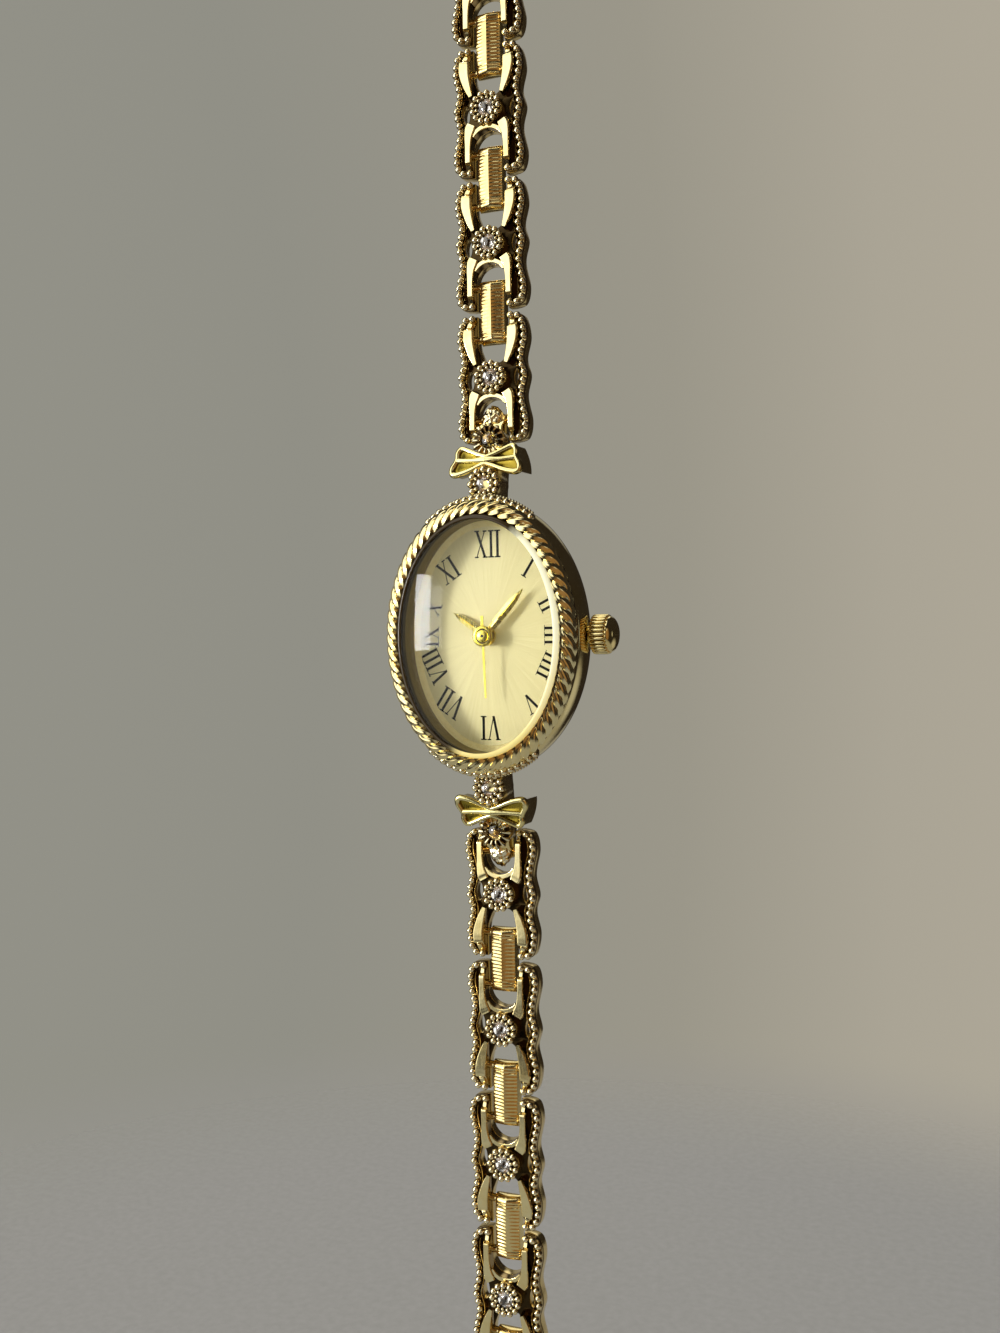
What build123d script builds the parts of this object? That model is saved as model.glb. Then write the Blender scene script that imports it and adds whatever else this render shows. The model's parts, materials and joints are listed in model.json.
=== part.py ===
from build123d import *
from math import cos, radians, sin, sqrt
import os

# A slim oval dress watch on an openwork bracelet, hung up by its clasp.
# It is drawn lying on its back: x towards 3 o'clock, y towards 12 o'clock, z up from the case back.
# At the end it is stood up, so that 12 o'clock points up and the dial faces -Y.

# Case and bezel, whose ovals are given by half their width
oval_extra = 3.0
case_half_width = 9.15
case_top_inset = 0.3
case_bottom_inset = 0.85
case_widest_height = 3.0
case_bottom_height = 0.3
case_top_height = 5.1
case_wall = 1.4
case_lip_thickness = 0.25
case_lip_width = 0.3
bezel_overhang = 0.1
bezel_width = 1.33
bezel_foot = 0.55
bezel_rope = 1.25

# Case back, gasket and movement heights
back_edge = 0.2
back_thickness = 0.5
back_rim_height = 0.45
back_rim_wall = 0.35
gasket_section = 0.3
gasket_width = 0.15
movement_base = 0.62
movement_height = 2.6
dial_thickness = 0.35
crown_axis_height = 2.08

# Crystal and the sloped ring below it
crystal_edge = 0.95
crystal_rise = 0.8
crystal_dome_wall = 0.75
crystal_seat_width = 0.25
dial_ring_slope = 0.2

# Fits
part_clearance = 0.05
running_clearance = 0.05
pivot_clearance = 0.03
seat_clearance = 0.02
overrun = 0.5

# Movement frame, with its places and radii as shares of its half width and half length
holder_wall = 1.35
movement_extra = 1.4
plate_thickness = 0.92
plate_web = 0.42
bridge_thickness = 0.3
bridge_low_share = (-0.9, -0.56)
bridge_high_share = (0.9, 0.37)
pillar_radius_share = 0.055
bridge_pillar_shares = [(-0.81, -0.44), (-0.81, 0.29), (0.81, -0.33)]
board_pillar_shares = [(-0.72, 0.51), (-0.19, 0.795)]
dial_foot_shares = [(0.77, -0.63), (-0.77, 0.63)]
dial_foot_radius_share = 0.055
dial_foot_length = 0.8

# Wheels, with their radii as shares of the movement's half width
train_module_share = 0.0141
wheel_thickness = 0.15
wheel_gap = 0.08
level_gap = 0.18
dial_side_gap = 0.04
pivot_radius_share = 0.0156
pivot_length = 0.25
stud_radius_share = 0.031
seconds_arbor_radius_share = 0.0235
minute_tube_radius_share = 0.055
hour_pipe_radius_share = 0.094
rotor_teeth = 6
intermediate_teeth = 30
intermediate_pinion_teeth = 6
seconds_teeth = 36
seconds_pinion_teeth = 6
third_teeth = 48
third_pinion_teeth = 6
centre_teeth = 45
cannon_teeth = 12
minute_teeth = 36
minute_pinion_teeth = 10
hour_teeth = 40
third_bearing = 165
intermediate_bearing = 270
rotor_bearing = 225
minute_bearing = -35
magnet_radius_share = 0.133
magnet_height = 0.4

# Battery, coil, stator and circuit, with their plan as shares of the movement's half sizes
battery_radius_share = 0.453
battery_height = 1.25
battery_inset = 0.18
battery_bearing = 58
battery_lift = 0.08
coil_radius = 0.75
coil_core_radius = 0.3
coil_height = 1.45
coil_gap = 0.2
coil_share = (0, -0.72)
stator_thickness = 0.2
stator_half_width_share = 0.6875
stator_leg_share = 0.14
stator_high_share = (0, -0.24)
stator_low_share = (0, -0.59)
stator_foot_share = (0, -0.78)
stator_pillar_inset = 0.3
stator_bore_gap = 0.15
board_low_share = (-0.81, 0.41)
board_high_share = (-0.11, 0.86)
board_thickness = 0.15
chip_size_share = 0.25
chip_height = 0.5
chip_share = (-0.45, 0.56)
oscillator_radius = 0.45
oscillator_length_share = 0.344
oscillator_share = (-0.62, 0.76)
oscillator_sink = 0.05

# Hands, whose lengths are shares of the opening's half width
hand_thickness = 0.14
second_hand_thickness = 0.08
hour_hand_share = 0.5
minute_hand_share = 0.72
second_hand_share = 0.72
second_tail_share = 0.236
hour_hand_width = 0.55
minute_hand_width = 0.5
second_hand_width = 0.14
hour_hand_lift = 0.4
minute_hand_lift = 0.9
second_hand_lift = 1.4
hour_hub_wall = 0.25
minute_hub_wall = 0.27
second_cap_wall = 0.45
second_cap_height = 0.22
hour_hand_angle = 303.5
minute_hand_angle = 42
second_hand_angle = 178

# Crown and stem
crown_radius = 1.6
crown_gap = 0.2
crown_barrel = 1.4
crown_rim = 0.12
crown_dome = 0.8
crown_flutes = 30
flute_radius = 0.12
tube_radius = 0.8
tube_bore_radius = 0.45
tube_recess = 0.1
tube_outset = 1.0
tube_end_gap = 0.1
stem_radius = 0.35
stem_square = 0.5
stem_tail = 1.0
stem_shoulder = 0.35
clutch_radius = 0.75
clutch_length_share = 0.156
clutch_inset_share = 0.39
clutch_teeth = 12
clutch_room = 0.15
stem_boss_gap = 0.1
stem_boss_half_width = 1.1
stem_boss_wall = 0.3

# Bracelet
links_per_side = 4
link_gap = 0.5
link_length = 11.7
link_half_width = 3.42
link_thickness = 1.9
link_back_height = 0.5
crossbar_inset = 2.1
crossbar_radius = 0.35
crossbar_lift = 0.65
crossbar_embed = 0.3
slot_half_width = 1.55
slot_throat_half_width = 0.95
slot_taper = 1.0
setting_radius = 1.42
setting_rise = 0.3
setting_wall = 0.35
window_half_width_share = 0.146
window_half_height_share = 0.162
window_place_share = 0.643
connector_width = 2.3
connector_wall = 0.2
connector_ridge = 0.5

# Stones
stone_radius = 0.72
stone_crown = 0.25
stone_pavilion = 0.5
stone_facets = 8
stone_table_share = 0.58
stone_culet_share = 0.1

# Lugs, whose places are reaches from the case's end outwards
spine_width = 2.3
spine_root = 1.15
spine_root_low = 1.6
spine_root_high = 4.0
spine_middle_low = 0.75
inner_setting_reach = 1.4
inner_setting_height = 4.55
inner_setting_radius = 1.5
bow_reach = 2.2
outer_setting_reach = 4.05
outer_setting_height = 3.35
outer_setting_radius = 1.32
first_link_reach = 5.8
setting_cup_depth = 0.45
bow_half_width = 3.3
bow_half_length = 1.3
bow_knot_half_length = 0.5
bow_knot_half_width = 0.3
bow_back_height = 0.9
bow_edge_height = 3.2
bow_ridge = 0.6
shoulder_half_span = 5.0
shoulder_width = 0.5
shoulder_drop = 0.6
shoulder_rise = 0.4

# Clasp
ladder_length = 24.0
ladder_width = 5.0
ladder_thickness = 1.1
ladder_corner = 1.0
ladder_slots = 8
ladder_first_slot = 5.3
ladder_slot_length = 1.2
ladder_slot_width = 3.2
ladder_end = 1.4
hinge_slot_length = 4.2
tray_length = 17.0
tray_clearance = 0.3
tray_floor = 0.5
tray_wall = 0.5
tray_depth = 1.9
hinge_block_length = 6.3
hook_place = 9.0
hook_length = 0.9
hook_width = 2.6
hook_rise = 0.9
hook_lip = 0.5
clasp_pin_radius = 0.4
clasp_pin_rise = 1.4
clasp_pin_inset = 0.5
knuckle_wall = 0.35
knuckle_gap = 0.05
knuckle_margin = 0.25
wall_stop = 1.1
cover_thickness = 0.5
cover_clearance = 0.1
cover_start = 4.6
cover_heel = 0.5

# Half widths of the ovals that follow
case_top_half_width = case_half_width - case_top_inset
case_bottom_half_width = case_half_width - case_bottom_inset
case_bore_half_width = case_half_width - case_wall
case_lip_half_width = case_bore_half_width - case_lip_width
back_half_width = case_bottom_half_width - back_edge
bore_fit_half_width = case_bore_half_width - part_clearance
bezel_half_width = case_top_half_width + bezel_overhang
bezel_opening_half_width = bezel_half_width - bezel_width
crystal_half_width = bezel_opening_half_width - seat_clearance
ledge_half_width = bezel_opening_half_width - crystal_seat_width

# Heights that follow
dial_base = movement_base + movement_height
dial_top = dial_base + dial_thickness
plate_base = dial_base - plate_thickness
plate_web_top = plate_base + plate_web
bridge_top = movement_base + bridge_thickness
board_top = bridge_top + board_thickness
intermediate_level = bridge_top + wheel_gap
third_level = intermediate_level + wheel_thickness + level_gap
seconds_level = third_level + wheel_thickness + level_gap
centre_level = seconds_level + wheel_thickness + level_gap
minute_level = plate_web_top + dial_side_gap
hour_level = minute_level + wheel_thickness + dial_side_gap
crystal_base = case_top_height + bezel_foot
bezel_top = crystal_base + bezel_rope
holder_base = back_thickness + back_rim_height
hour_hand_level = dial_top + hour_hand_lift
minute_hand_level = dial_top + minute_hand_lift
second_hand_level = dial_top + second_hand_lift
hinge_height = link_back_height + crossbar_lift
link_front_height = link_back_height + link_thickness
shoulder_low = case_top_height - shoulder_drop
shoulder_high = case_top_height + shoulder_rise
clasp_pin_height = link_back_height + clasp_pin_rise

# Plan of the movement that follows
movement_half_width = case_bore_half_width - holder_wall
movement_half_length = movement_half_width + movement_extra
train_module = train_module_share * movement_half_width
pivot_radius = pivot_radius_share * movement_half_width
stud_radius = stud_radius_share * movement_half_width
seconds_arbor_radius = seconds_arbor_radius_share * movement_half_width
minute_tube_radius = minute_tube_radius_share * movement_half_width
hour_pipe_radius = hour_pipe_radius_share * movement_half_width
pillar_radius = pillar_radius_share * movement_half_width
dial_foot_radius = dial_foot_radius_share * movement_half_width
magnet_radius = magnet_radius_share * movement_half_width
battery_radius = battery_radius_share * movement_half_width
stator_half_width = stator_half_width_share * movement_half_width
stator_leg = stator_leg_share * movement_half_width
coil_half_length = stator_half_width - stator_leg - coil_gap
chip_size = chip_size_share * movement_half_width
oscillator_length = oscillator_length_share * movement_half_width

# Hands that follow
hour_hand_length = hour_hand_share * bezel_opening_half_width
minute_hand_length = minute_hand_share * bezel_opening_half_width
second_hand_length = second_hand_share * bezel_opening_half_width
second_hand_tail = second_tail_share * bezel_opening_half_width
hour_hub_radius = hour_pipe_radius + hour_hub_wall
minute_hub_radius = minute_tube_radius + minute_hub_wall
second_cap_radius = seconds_arbor_radius + second_cap_wall

# Places along the crown's axis that follow
crown_start = case_half_width + crown_gap
crown_barrel_end = crown_start + crown_barrel
tube_start = case_bore_half_width + tube_recess
tube_end = case_half_width + tube_outset
clutch_length = clutch_length_share * movement_half_width
clutch_start = movement_half_width - clutch_inset_share * movement_half_width
stem_inner_end = clutch_start - stem_tail
stem_square_end = clutch_start + clutch_length + stem_shoulder

# Places along the lugs and the bracelet that follow
case_half_length = case_half_width + oval_extra
spine_start = case_half_length - spine_root
inner_setting_place = case_half_length + inner_setting_reach
bow_place = inner_setting_place + bow_reach
outer_setting_place = inner_setting_place + outer_setting_reach
first_link_place = outer_setting_place + first_link_reach
link_pitch = link_length + link_gap
bar_offset = link_length / 2 - crossbar_inset
connector_reach = link_pitch - 2 * bar_offset
first_hinge_place = first_link_place - bar_offset
last_link_place = first_link_place + (links_per_side - 1) * link_pitch

# Radii and places in the clasp that follow
eye_radius = crossbar_radius + running_clearance + connector_wall
knuckle_radius = clasp_pin_radius + running_clearance + knuckle_wall
tray_width = ladder_width + 2 * (tray_clearance + tray_wall)
knuckle_width = (tray_width - 2 * (knuckle_gap + knuckle_margin)) / 3
clasp_bar_place = last_link_place + bar_offset + connector_reach
clasp_start = clasp_bar_place - crossbar_inset
ladder_pitch = (ladder_length - ladder_first_slot - ladder_slot_length - ladder_end) / (ladder_slots - 1)
hanging_place = clasp_start + ladder_length - ladder_end
clasp_pin_place = clasp_start + tray_length - clasp_pin_inset


# Place at a distance and a bearing from another place
def place_from(start, distance, bearing):
    turn = radians(bearing)
    return (start[0] + distance * cos(turn), start[1] + distance * sin(turn))


# Place in the movement from its shares of half width and half length
def movement_place(shares):
    return (shares[0] * movement_half_width, shares[1] * movement_half_length)


# Half the sum of two gears' pitch diameters
def centre_distance(module, teeth, other_teeth):
    return module * (teeth + other_teeth) / 2


# Places of the arbors, and the modules that keep two pairs at one distance
centre = (0, 0)
third_reach = centre_distance(train_module, seconds_pinion_teeth, third_teeth)
third_place = place_from(centre, third_reach, third_bearing)
centre_module = train_module * (seconds_pinion_teeth + third_teeth) / (third_pinion_teeth + centre_teeth)
intermediate_reach = centre_distance(train_module, intermediate_pinion_teeth, seconds_teeth)
intermediate_place = place_from(centre, intermediate_reach, intermediate_bearing)
rotor_reach = centre_distance(train_module, rotor_teeth, intermediate_teeth)
rotor_place = place_from(intermediate_place, rotor_reach, rotor_bearing)
minute_reach = centre_distance(train_module, cannon_teeth, minute_teeth)
minute_place = place_from(centre, minute_reach, minute_bearing)
hour_module = train_module * (cannon_teeth + minute_teeth) / (minute_pinion_teeth + hour_teeth)

# Other places in the movement that follow
battery_place = place_from(centre, movement_half_length - battery_inset - battery_radius, battery_bearing)
coil_place = movement_place(coil_share)[1]
stator_low = movement_place(stator_low_share)[1]


# Oval face, slab, ring and smooth body
def oval(half_width):
    return Ellipse(half_width, half_width + oval_extra)


def oval_slab(half_width, low, high):
    return Pos(0, 0, low) * extrude(oval(half_width), high - low)


def oval_ring(outer, inner, low, high):
    return oval_slab(outer, low, high) - oval_slab(inner, low - overrun, high + overrun)


def oval_body(levels):
    return loft([Pos(0, 0, height) * oval(half_width) for height, half_width in levels])


# Round post along z, and round bar along x
def post(place, radius, low, high):
    return Pos(place[0], place[1], (low + high) / 2) * Cylinder(radius, high - low)


def bar(start, end, y, z, radius):
    return Pos((start + end) / 2, y, z) * Rot(0, 90, 0) * Cylinder(radius, end - start)


# Block from its lowest to its highest corner
def block(low, high):
    size = [b - a for a, b in zip(low, high)]
    middle = [(a + b) / 2 for a, b in zip(low, high)]
    return Pos(*middle) * Box(*size)


# Block that is as wide to the left as to the right
def centred_block(width, start, end, low, high):
    return block((-width / 2, start, low), (width / 2, end, high))


# Shape from points in the y and z plane, as wide to the left as to the right
def side_shape(points, width):
    face = make_face(Plane.YZ * Polyline(*points, close=True))
    return extrude(face, width / 2, both=True)


# Toothed disc whose first tooth points along its bearing
def gear(place, teeth, module, low, high, bearing):
    root_half_share = 0.3
    tip_half_share = 0.11
    root_share = 1.1
    tip_share = 0.8
    pitch = 360 / teeth
    root = module * (teeth / 2 - root_share)
    tip = module * (teeth / 2 + tip_share)
    flanks = [(root, -root_half_share), (tip, -tip_half_share), (tip, tip_half_share), (root, root_half_share)]
    points = []
    for tooth in range(teeth):
        for radius, share in flanks:
            turn = radians(bearing + pitch * (tooth + share))
            points.append((radius * cos(turn), radius * sin(turn)))
    return Pos(place[0], place[1], low) * extrude(Polygon(*points, align=None), high - low)


# Gear with a gap, not a tooth, towards its bearing
def gap_gear(place, teeth, module, low, high, bearing):
    return gear(place, teeth, module, low, high, bearing + 180 / teeth)


# Case middle with its bulged side, open to the back
def case_body():
    return oval_body(
        [
            (case_bottom_height, case_bottom_half_width),
            (case_widest_height, case_half_width),
            (case_top_height, case_top_half_width),
        ]
    )


def case_middle():
    lip_base = case_top_height - case_lip_thickness
    gasket_seat = case_bore_half_width + gasket_width
    body = case_body()
    body -= oval_slab(case_bore_half_width, -overrun, lip_base)
    body -= oval_slab(case_lip_half_width, lip_base - overrun, case_top_height + overrun)
    body -= oval_slab(back_half_width + part_clearance, -overrun, back_thickness)
    body -= oval_slab(gasket_seat, -overrun, back_thickness + gasket_section)
    return body - bar(0, case_half_width + overrun, 0, crown_axis_height, tube_radius)


# Bezel: a foot on the case and a rounded ring on which the rope lies
def bezel_body():
    section = (bezel_half_width - bezel_opening_half_width) / 2
    flank = bezel_half_width - section * (1 - cos(radians(45)))
    crest = bezel_half_width - section
    rope = oval_body(
        [
            (crystal_base, flank),
            (crystal_base + bezel_rope / 2, bezel_half_width),
            (bezel_top, crest),
        ]
    )
    return rope + oval_slab(case_top_half_width, case_top_height, crystal_base)


def bezel():
    body = bezel_body() - oval_slab(bezel_opening_half_width, crystal_base, bezel_top + overrun)
    return body - oval_slab(ledge_half_width, case_top_height - overrun, crystal_base + overrun)


# Cap of a stretched ball above an oval
def dome(half_width, rise, base):
    radius = (half_width**2 + rise**2) / (2 * rise)
    ball = Pos(0, 0, rise - radius) * Sphere(radius)
    cap = ball & block((-radius, -radius, 0), (radius, radius, rise + overrun))
    stretch = (half_width + oval_extra) / half_width
    return Pos(0, 0, base) * scale(cap, by=(1, stretch, 1))


def crystal():
    seat = crystal_base + gasket_section
    edge_top = seat + crystal_edge
    hollow_rise = crystal_edge + crystal_rise - crystal_dome_wall
    body = oval_slab(crystal_half_width, seat, edge_top) + dome(crystal_half_width, crystal_rise, edge_top)
    return body - dome(ledge_half_width, hollow_rise, seat)


def crystal_gasket():
    return oval_ring(crystal_half_width, ledge_half_width, crystal_base, crystal_base + gasket_section)


# Sloped ring between dial and crystal
def dial_ring():
    top = case_top_height - case_lip_thickness
    opening = oval_body([(dial_top, ledge_half_width - dial_ring_slope), (top, ledge_half_width)])
    return oval_slab(bore_fit_half_width, dial_top, top) - opening


def dial():
    plate = oval_slab(bore_fit_half_width, dial_base, dial_top)
    plate -= post(centre, hour_pipe_radius + 2 * part_clearance, dial_base - overrun, dial_top + overrun)
    for shares in dial_foot_shares:
        plate += post(movement_place(shares), dial_foot_radius, dial_base - dial_foot_length, dial_base)
    return plate


# Snap-on back with its rim, and the gasket in the case's corner
def case_back():
    rim = oval_ring(bore_fit_half_width, bore_fit_half_width - back_rim_wall, back_thickness, holder_base)
    return oval_slab(back_half_width, 0, back_thickness) + rim


def back_gasket():
    outer = case_bore_half_width + gasket_width
    return oval_ring(outer, bore_fit_half_width, back_thickness, back_thickness + gasket_section)


# Tube that carries the crown, pushed into the case's side
def crown_tube():
    body = bar(tube_start, tube_end, 0, crown_axis_height, tube_radius)
    return body - bar(tube_start - overrun, tube_end + overrun, 0, crown_axis_height, tube_bore_radius)


def crown():
    knee_share = 0.75
    tip = crown_barrel_end + crown_dome
    ball_radius = (crown_radius**2 + crown_dome**2) / (2 * crown_dome)
    knee_radius = knee_share * crown_radius
    knee = (tip - ball_radius + sqrt(ball_radius**2 - knee_radius**2), knee_radius)
    corner = (crown_barrel_end, crown_radius)
    outline = Polyline((tip, 0), (crown_start, 0), (crown_start, crown_radius), corner)
    outline += ThreePointArc(corner, knee, (tip, 0))
    body = revolve(make_face(outline), Axis.X)
    for flute in range(crown_flutes):
        groove = bar(crown_start - overrun, crown_barrel_end - crown_rim, 0, crown_radius, flute_radius)
        body -= Rot(360 * flute / crown_flutes, 0, 0) * groove
    body -= bar(crown_start - overrun, tube_end + tube_end_gap, 0, 0, tube_radius + running_clearance)
    body -= bar(crown_start, crown_barrel_end, 0, 0, stem_radius)
    return Pos(0, 0, crown_axis_height) * body


def stem():
    half = stem_square / 2
    square = block(
        (stem_inner_end, -half, crown_axis_height - half),
        (stem_square_end, half, crown_axis_height + half),
    )
    return square + bar(stem_square_end, crown_barrel_end, 0, crown_axis_height, stem_radius)


# Toothed clutch on the stem's square
def sliding_pinion():
    module = 2 * clutch_radius / (clutch_teeth + 2)
    hole = stem_square + 2 * pivot_clearance
    wheel = gear(centre, clutch_teeth, module, 0, clutch_length, 0)
    wheel -= centred_block(hole, -hole / 2, hole / 2, -overrun, clutch_length + overrun)
    return Pos(clutch_start, 0, crown_axis_height) * Rot(0, 90, 0) * wheel


# Plan of the movement, a disc with two flats
def movement_slab(clearance, low, high):
    disc = post(centre, movement_half_length + clearance, low, high)
    width = 2 * (movement_half_width + clearance)
    length = movement_half_length + clearance
    return disc & centred_block(width, -length, length, low, high)


def movement_holder():
    ring = oval_slab(bore_fit_half_width, holder_base, dial_base)
    ring -= movement_slab(part_clearance, holder_base - overrun, dial_base + overrun)
    return ring - bar(0, case_half_width, 0, crown_axis_height, tube_bore_radius)


# Plate between wheels and dial, with the recess for the motion work
def main_plate():
    plate = movement_slab(0, plate_base, dial_base)
    minute_room = gear_tip_radius(train_module, minute_teeth) + wheel_gap
    hour_room = gear_tip_radius(hour_module, hour_teeth) + wheel_gap
    plate -= post(minute_place, minute_room, plate_web_top, dial_base + overrun)
    plate -= post(centre, hour_room, plate_web_top, dial_base + overrun)
    plate -= post(centre, minute_tube_radius + running_clearance, plate_base - overrun, dial_base)
    for place in (third_place, intermediate_place, rotor_place):
        plate -= post(place, pivot_radius + pivot_clearance, plate_base - overrun, plate_web_top)
    for shares in dial_foot_shares:
        hole = dial_foot_radius + seat_clearance
        plate -= post(movement_place(shares), hole, plate_base - overrun, dial_base + overrun)
    for shares in board_pillar_shares:
        plate += post(movement_place(shares), pillar_radius, board_top, plate_base)
    for side in (-1, 1):
        plate += post(stator_pillar_place(side), pillar_radius, coil_height + stator_thickness / 2, plate_base)
    plate += stem_boss()
    room = clutch_radius + clutch_room
    plate -= block(
        (clutch_start - clutch_room, -room, plate_base - overrun),
        (clutch_start + clutch_length + clutch_room, room, crown_axis_height + room),
    )
    stem_bore = stem_radius + running_clearance
    plate -= bar(stem_inner_end - clutch_room, case_half_width, 0, crown_axis_height, stem_bore)
    return plate + post(minute_place, stud_radius, plate_web_top, hour_level + wheel_thickness)


# Boss below the plate that the stem runs in
def stem_boss():
    low = crown_axis_height - stem_radius - running_clearance - stem_boss_wall
    return block(
        (stem_square_end + stem_boss_gap, -stem_boss_half_width, low),
        (movement_half_width, stem_boss_half_width, plate_base),
    )


def stator_pillar_place(side):
    return (side * (stator_half_width - stator_leg / 2), stator_low - stator_pillar_inset)


def gear_tip_radius(module, teeth):
    return module * (teeth + 2) / 2


# Bridge on the battery side, on three pillars
def train_bridge():
    low = movement_place(bridge_low_share)
    high = movement_place(bridge_high_share)
    bridge = block((*low, movement_base), (*high, bridge_top)) & movement_slab(0, movement_base, bridge_top)
    bridge -= post(battery_place, battery_radius + part_clearance, movement_base - overrun, plate_base)
    for place in (centre, third_place, intermediate_place, rotor_place):
        radius = seconds_arbor_radius if place == centre else pivot_radius
        bridge -= post(place, radius + pivot_clearance, movement_base - overrun, bridge_top + overrun)
    for shares in bridge_pillar_shares:
        bridge += post(movement_place(shares), pillar_radius, movement_base, plate_base)
    return bridge


def battery():
    low = movement_base + battery_lift
    rim_share = 0.9
    step_share = 0.85
    cell = post(battery_place, battery_radius, low, low + battery_height * step_share)
    return cell + post(battery_place, battery_radius * rim_share, low, low + battery_height)


# Circuit board with its chip and oscillator can
def circuit_board():
    low = movement_place(board_low_share)
    high = movement_place(board_high_share)
    board = block((*low, bridge_top), (*high, board_top))
    board &= movement_slab(-part_clearance, bridge_top, board_top)
    chip = Box(chip_size, chip_size, chip_height, align=(Align.CENTER, Align.CENTER, Align.MIN))
    can_start, can_place = movement_place(oscillator_share)
    can_height = board_top + oscillator_radius - oscillator_sink
    can = bar(can_start, can_start + oscillator_length, can_place, can_height, oscillator_radius)
    can &= block((*low, bridge_top), (*high, plate_base))
    return board + Pos(*movement_place(chip_share), board_top) * chip + can


# Stator plate with its legs and the core through the coil
def stator():
    low = coil_height - stator_thickness / 2
    high = coil_height + stator_thickness / 2
    outer = stator_half_width
    inner = stator_half_width - stator_leg
    foot = movement_place(stator_foot_share)[1]
    plate = block((-outer, stator_low, low), (outer, movement_place(stator_high_share)[1], high))
    plate += block((-outer, foot, low), (-inner, stator_low, high))
    plate += block((inner, foot, low), (outer, stator_low, high))
    plate += bar(-outer, outer, coil_place, coil_height, coil_core_radius)
    bore = magnet_radius + stator_bore_gap
    plate -= post(rotor_place, bore, low - overrun, high + overrun)
    pinion_room = gear_tip_radius(train_module, intermediate_pinion_teeth) + stator_bore_gap
    return plate - post(intermediate_place, pinion_room, low - overrun, high + overrun)


def coil():
    end = coil_half_length + overrun
    winding = bar(-coil_half_length, coil_half_length, coil_place, coil_height, coil_radius)
    return winding - bar(-end, end, coil_place, coil_height, coil_core_radius)


# Arbor between its two pivot bearings
def arbor(place):
    return post(place, pivot_radius, movement_base, plate_base + pivot_length)


# Rotor: magnet and pinion on one arbor
def rotor():
    pinion_top = intermediate_level + wheel_thickness
    magnet_low = coil_height - magnet_height / 2
    toothed = gear(rotor_place, rotor_teeth, train_module, intermediate_level, pinion_top, rotor_bearing + 180)
    magnet = post(rotor_place, magnet_radius, magnet_low, magnet_low + magnet_height)
    return toothed + magnet + arbor(rotor_place)


def intermediate_wheel():
    wheel_top = intermediate_level + wheel_thickness
    toothed = gap_gear(
        intermediate_place, intermediate_teeth, train_module, intermediate_level, wheel_top, rotor_bearing
    )
    pinion = gear(
        intermediate_place,
        intermediate_pinion_teeth,
        train_module,
        wheel_top,
        seconds_level + wheel_thickness,
        intermediate_bearing + 180,
    )
    return toothed + pinion + arbor(intermediate_place)


def seconds_wheel():
    wheel_top = seconds_level + wheel_thickness
    toothed = gap_gear(centre, seconds_teeth, train_module, seconds_level, wheel_top, intermediate_bearing)
    pinion = gear(centre, seconds_pinion_teeth, train_module, third_level, seconds_level, third_bearing)
    return toothed + pinion + post(centre, seconds_arbor_radius, movement_base, second_hand_level)


def third_wheel():
    wheel_top = third_level + wheel_thickness
    toothed = gap_gear(third_place, third_teeth, train_module, third_level, wheel_top, third_bearing + 180)
    centre_top = centre_level + wheel_thickness
    pinion = gear(third_place, third_pinion_teeth, centre_module, wheel_top, centre_top, third_bearing + 180)
    return toothed + pinion + arbor(third_place)


# Centre wheel on the tube that carries the minute hand
def centre_wheel():
    wheel_top = centre_level + wheel_thickness
    tube_top = minute_hand_level + hand_thickness
    toothed = gap_gear(centre, centre_teeth, centre_module, centre_level, wheel_top, third_bearing)
    cannon_top = minute_level + wheel_thickness
    cannon = gear(centre, cannon_teeth, train_module, minute_level, cannon_top, minute_bearing)
    body = toothed + cannon + post(centre, minute_tube_radius, centre_level, tube_top)
    hole = seconds_arbor_radius + running_clearance
    return body - post(centre, hole, centre_level - overrun, tube_top + overrun)


def minute_wheel():
    wheel_top = minute_level + wheel_thickness
    pinion_top = hour_level + wheel_thickness
    toothed = gap_gear(minute_place, minute_teeth, train_module, minute_level, wheel_top, minute_bearing + 180)
    pinion = gear(minute_place, minute_pinion_teeth, hour_module, wheel_top, pinion_top, minute_bearing + 180)
    hole = stud_radius + running_clearance
    return toothed + pinion - post(minute_place, hole, minute_level - overrun, pinion_top + overrun)


def hour_wheel():
    pipe_top = hour_hand_level + hand_thickness
    wheel_top = hour_level + wheel_thickness
    toothed = gap_gear(centre, hour_teeth, hour_module, hour_level, wheel_top, minute_bearing)
    body = toothed + post(centre, hour_pipe_radius, hour_level, pipe_top)
    hole = minute_tube_radius + running_clearance
    return body - post(centre, hole, hour_level - overrun, pipe_top + overrun)


# Leaf-shaped hand that points to its angle from 12 o'clock
def leaf_hand(length, width, hub_radius, bore, level, angle):
    neck_share = 0.45
    belly_share = 0.55
    tip_share = 0.12
    outline = [
        (neck_share * width / 2, 0),
        (width / 2, belly_share * length),
        (tip_share * width / 2, length),
        (-tip_share * width / 2, length),
        (-width / 2, belly_share * length),
        (-neck_share * width / 2, 0),
    ]
    blade = Pos(0, 0, level) * extrude(Polygon(*outline, align=None), hand_thickness)
    body = blade + post(centre, hub_radius, level, level + hand_thickness)
    body -= post(centre, bore, level - overrun, level + hand_thickness + overrun)
    return Rot(0, 0, -angle) * body


def hour_hand():
    return leaf_hand(
        hour_hand_length, hour_hand_width, hour_hub_radius, hour_pipe_radius, hour_hand_level, hour_hand_angle
    )


def minute_hand():
    return leaf_hand(
        minute_hand_length,
        minute_hand_width,
        minute_hub_radius,
        minute_tube_radius,
        minute_hand_level,
        minute_hand_angle,
    )


def second_hand():
    top = second_hand_level + second_hand_thickness
    blade = centred_block(second_hand_width, -second_hand_tail, second_hand_length, second_hand_level, top)
    cap = post(centre, second_cap_radius, second_hand_level, top + second_cap_height)
    return Rot(0, 0, -second_hand_angle) * (blade + cap)


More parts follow.
